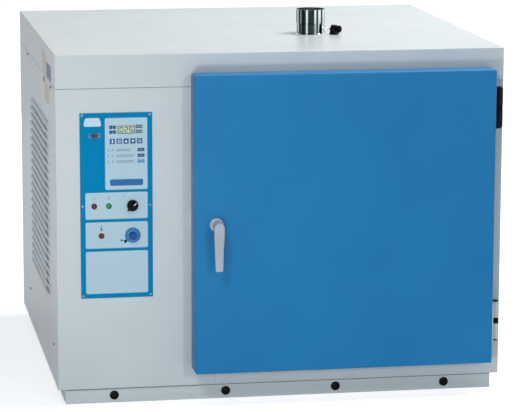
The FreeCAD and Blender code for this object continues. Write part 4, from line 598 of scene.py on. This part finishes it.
SCREW_ACROSS = (6.0, 180.0)
SCREW_DROPS = (6.0, 240.5, 475.0)
SCREW_TOP = PLATE_FACE - 1.5
CROSS_HALF, CROSS_WIDTH = 1.4, 0.6
crosses = []
for across in SCREW_ACROSS:
    for drop in SCREW_DROPS:
        x, z = PLATE_LEFT + across, PLATE_TOP - drop
        crosses.append(bar(x - CROSS_HALF, z, x + CROSS_HALF, z, CROSS_WIDTH))
        crosses.append(bar(x, z - CROSS_HALF, x, z + CROSS_HALF, CROSS_WIDTH))
film("screw_recess_painted_shade", crosses, SCREW_TOP, black_film_and_painted_shade, thick=0.05, lift=0.0)


# Bare plates on the left side: a slate-blue one, two faded paper strips and a small dark mark

side_film("upper_label_strip", round_rectangle(-246.0, 857.0, 130.0, 60.0, 3.0), label_paper, 0.2)
side_film("lower_label_strip", round_rectangle(-299.0, 788.0, 150.0, 56.0, 3.0), label_paper, 0.2)
side_film("slate_plate", round_rectangle(-364.0, 848.0, 112.0, 38.0, 2.0), plate_ink, 0.5)
side_film("label_mark", round_rectangle(-222.0, 810.0, 42.0, 12.0, 1.0), mark_ink, 0.3)


# Painted seam shade: thin grey strips that paint the shade in the lid's seam and the shadow under the
# casing's bottom edge on the plinth

SEAM_HEIGHT = 824.0
PLINTH_FRONT = -522.0
film("front_seam_painted_shade", [rectangle(0.0, SEAM_HEIGHT, 1166.0, 1.3)], CASING_FRONT, seam_painted_shade)
for side, name in ((-1, "left_seam_painted_shade"), (1, "right_seam_painted_shade")):
    side_film(name, rectangle(0.0, SEAM_HEIGHT, 1056.0, 0.7), seam_painted_shade, PRINT_THICK, side)
film("plinth_seam_painted_shade", [rectangle(0.0, 37.9, 1128.0, 3.8)], PLINTH_FRONT, seam_painted_shade)


# Studio: pale floor, soft lamps, white backdrop; lengths in metres

FLOOR_HALF = 40.0
FLOOR_GAP = 0.0005
FLOOR_DARK, FLOOR_LIGHT, FLOOR_GLOW = "#D8D8D8", "#DCDCDC", 0.68
FADE_START, FADE_END = 0.8, 2.6
SKY_TONE = (0.085, 0.115, 0.16, 1.0)
OVERHEAD_TONE = (1.0, 0.985, 0.95)
FRONT_TONE = (1.0, 1.0, 0.99)
OVEN_MIDDLE = (0.0, 0.0, 0.45)


def shown_rays(tree):
    """1 for the rays that the camera, a gloss or a clear body sends straight out, else 0."""
    rays = add(tree, "ShaderNodeLightPath").outputs
    shown = rays["Is Camera Ray"]
    for kind in ("Is Glossy Ray", "Is Transmission Ray"):
        shown = add(tree, "ShaderNodeMath", {0: shown, 1: rays[kind]}, operation="MAXIMUM").outputs[0]
    return shown


def studio_floor():
    """Large plane under the plinth: it keeps the shadow near the object and is white further out."""
    mesh = bmesh.new()
    corners = ((-1, -1), (1, -1), (1, 1), (-1, 1))
    mesh.faces.new([mesh.verts.new((x * FLOOR_HALF, y * FLOOR_HALF, -FLOOR_GAP)) for x, y in corners])
    data = bpy.data.meshes.new("studio_floor")
    mesh.to_mesh(data)
    mesh.free()
    floor = bpy.data.objects.new("studio_floor", data)
    bpy.context.scene.collection.objects.link(floor)
    material, tree, place = start("white_paper_floor")
    colour = tint(tree, grain(tree, place, 400), FLOOR_DARK, FLOOR_LIGHT)
    paper = add(tree, "ShaderNodeBsdfDiffuse", {"Color": colour})
    reach = add(tree, "ShaderNodeVectorMath", {0: place}, operation="LENGTH").outputs["Value"]
    fade = add(tree, "ShaderNodeMapRange", {
        "Value": reach, "From Min": FADE_START, "From Max": FADE_END, "To Min": FLOOR_GLOW, "To Max": 1.0,
    }).outputs[0]
    glow = add(tree, "ShaderNodeEmission", {"Color": (1, 1, 1, 1), "Strength": fade})
    both = add(tree, "ShaderNodeAddShader", {0: paper.outputs[0], 1: glow.outputs[0]})
    mix = add(tree, "ShaderNodeMixShader", {0: shown_rays(tree), 1: paper.outputs[0], 2: both.outputs[0]})
    close(tree, mix)
    data.materials.append(material)


def studio_world():
    """White to the camera and in reflections, a dim even light on the object."""
    world = bpy.data.worlds.new("studio")
    bpy.context.scene.world = world
    world.use_nodes = True
    tree = world.node_tree
    tree.nodes.clear()
    tone = blend(tree, shown_rays(tree), SKY_TONE, (1, 1, 1, 1))
    shade = add(tree, "ShaderNodeBackground", {"Color": tone})
    add(tree, "ShaderNodeOutputWorld", {"Surface": shade.outputs[0]})


def softbox(name, place, target, width, height, power, tone):
    """Rectangular lamp that faces its target and isn't seen by the camera."""
    lamp = bpy.data.lights.new(name, "AREA")
    lamp.color = tone
    lamp.shape = "RECTANGLE"
    lamp.size, lamp.size_y = width, height
    lamp.energy = power
    holder = bpy.data.objects.new(name, lamp)
    bpy.context.scene.collection.objects.link(holder)
    holder.location = place
    holder.rotation_mode = "QUATERNION"
    holder.rotation_quaternion = (Vector(target) - Vector(place)).to_track_quat("-Z", "Y")
    holder.visible_camera = False


studio_floor()
studio_world()
softbox("overhead", (1.6, 0.0, 3.4), (0.2, 0.0, 0.9), 2.0, 2.0, 110.0, OVERHEAD_TONE)
softbox("upper_left_main", (-1.5, -3.1, 2.7), (-0.1, -0.3, 0.4), 0.6, 0.6, 37.0, FRONT_TONE)
softbox("low_left_fill", (-0.8, -3.2, 0.2), (-0.1, -0.53, 0.1), 0.7, 0.3, 19.0, FRONT_TONE)
softbox("right_front_key", (1.3, -6.0, 1.9), OVEN_MIDDLE, 0.4, 0.4, 52.0, FRONT_TONE)
softbox("rear_fill", (0.5, 4.6, 0.35), (0.0, 0.5, 0.4), 1.2, 0.6, 46.0, OVERHEAD_TONE)


# Camera at the photograph's angle, fitted to the casing, door and control plate

CAMERA_PLACE = (-1.1962, -7.0346, 1.7297)
CAMERA_YAW, CAMERA_PITCH, CAMERA_ROLL = 9.895, 10.472, 0.134
FOCAL_PIXELS, PICTURE_WIDTH = 2598.4, 517
SENSOR_WIDTH = 36.0
camera_data = bpy.data.cameras.new("camera")
camera_data.sensor_width = SENSOR_WIDTH
camera_data.lens = FOCAL_PIXELS / PICTURE_WIDTH * SENSOR_WIDTH
camera_data.clip_start, camera_data.clip_end = 0.1, 100.0
camera = bpy.data.objects.new("camera", camera_data)
bpy.context.scene.collection.objects.link(camera)
yaw, pitch, roll = (math.radians(a) for a in (CAMERA_YAW, CAMERA_PITCH, CAMERA_ROLL))
camera.matrix_world = (
    Matrix.Translation(CAMERA_PLACE)
    @ Matrix.Rotation(-yaw, 4, "Z")
    @ Matrix.Rotation(math.pi / 2 - pitch, 4, "X")
    @ Matrix.Rotation(roll, 4, "Z")
)
bpy.context.scene.camera = camera
bpy.context.scene.view_settings.view_transform = "Standard"
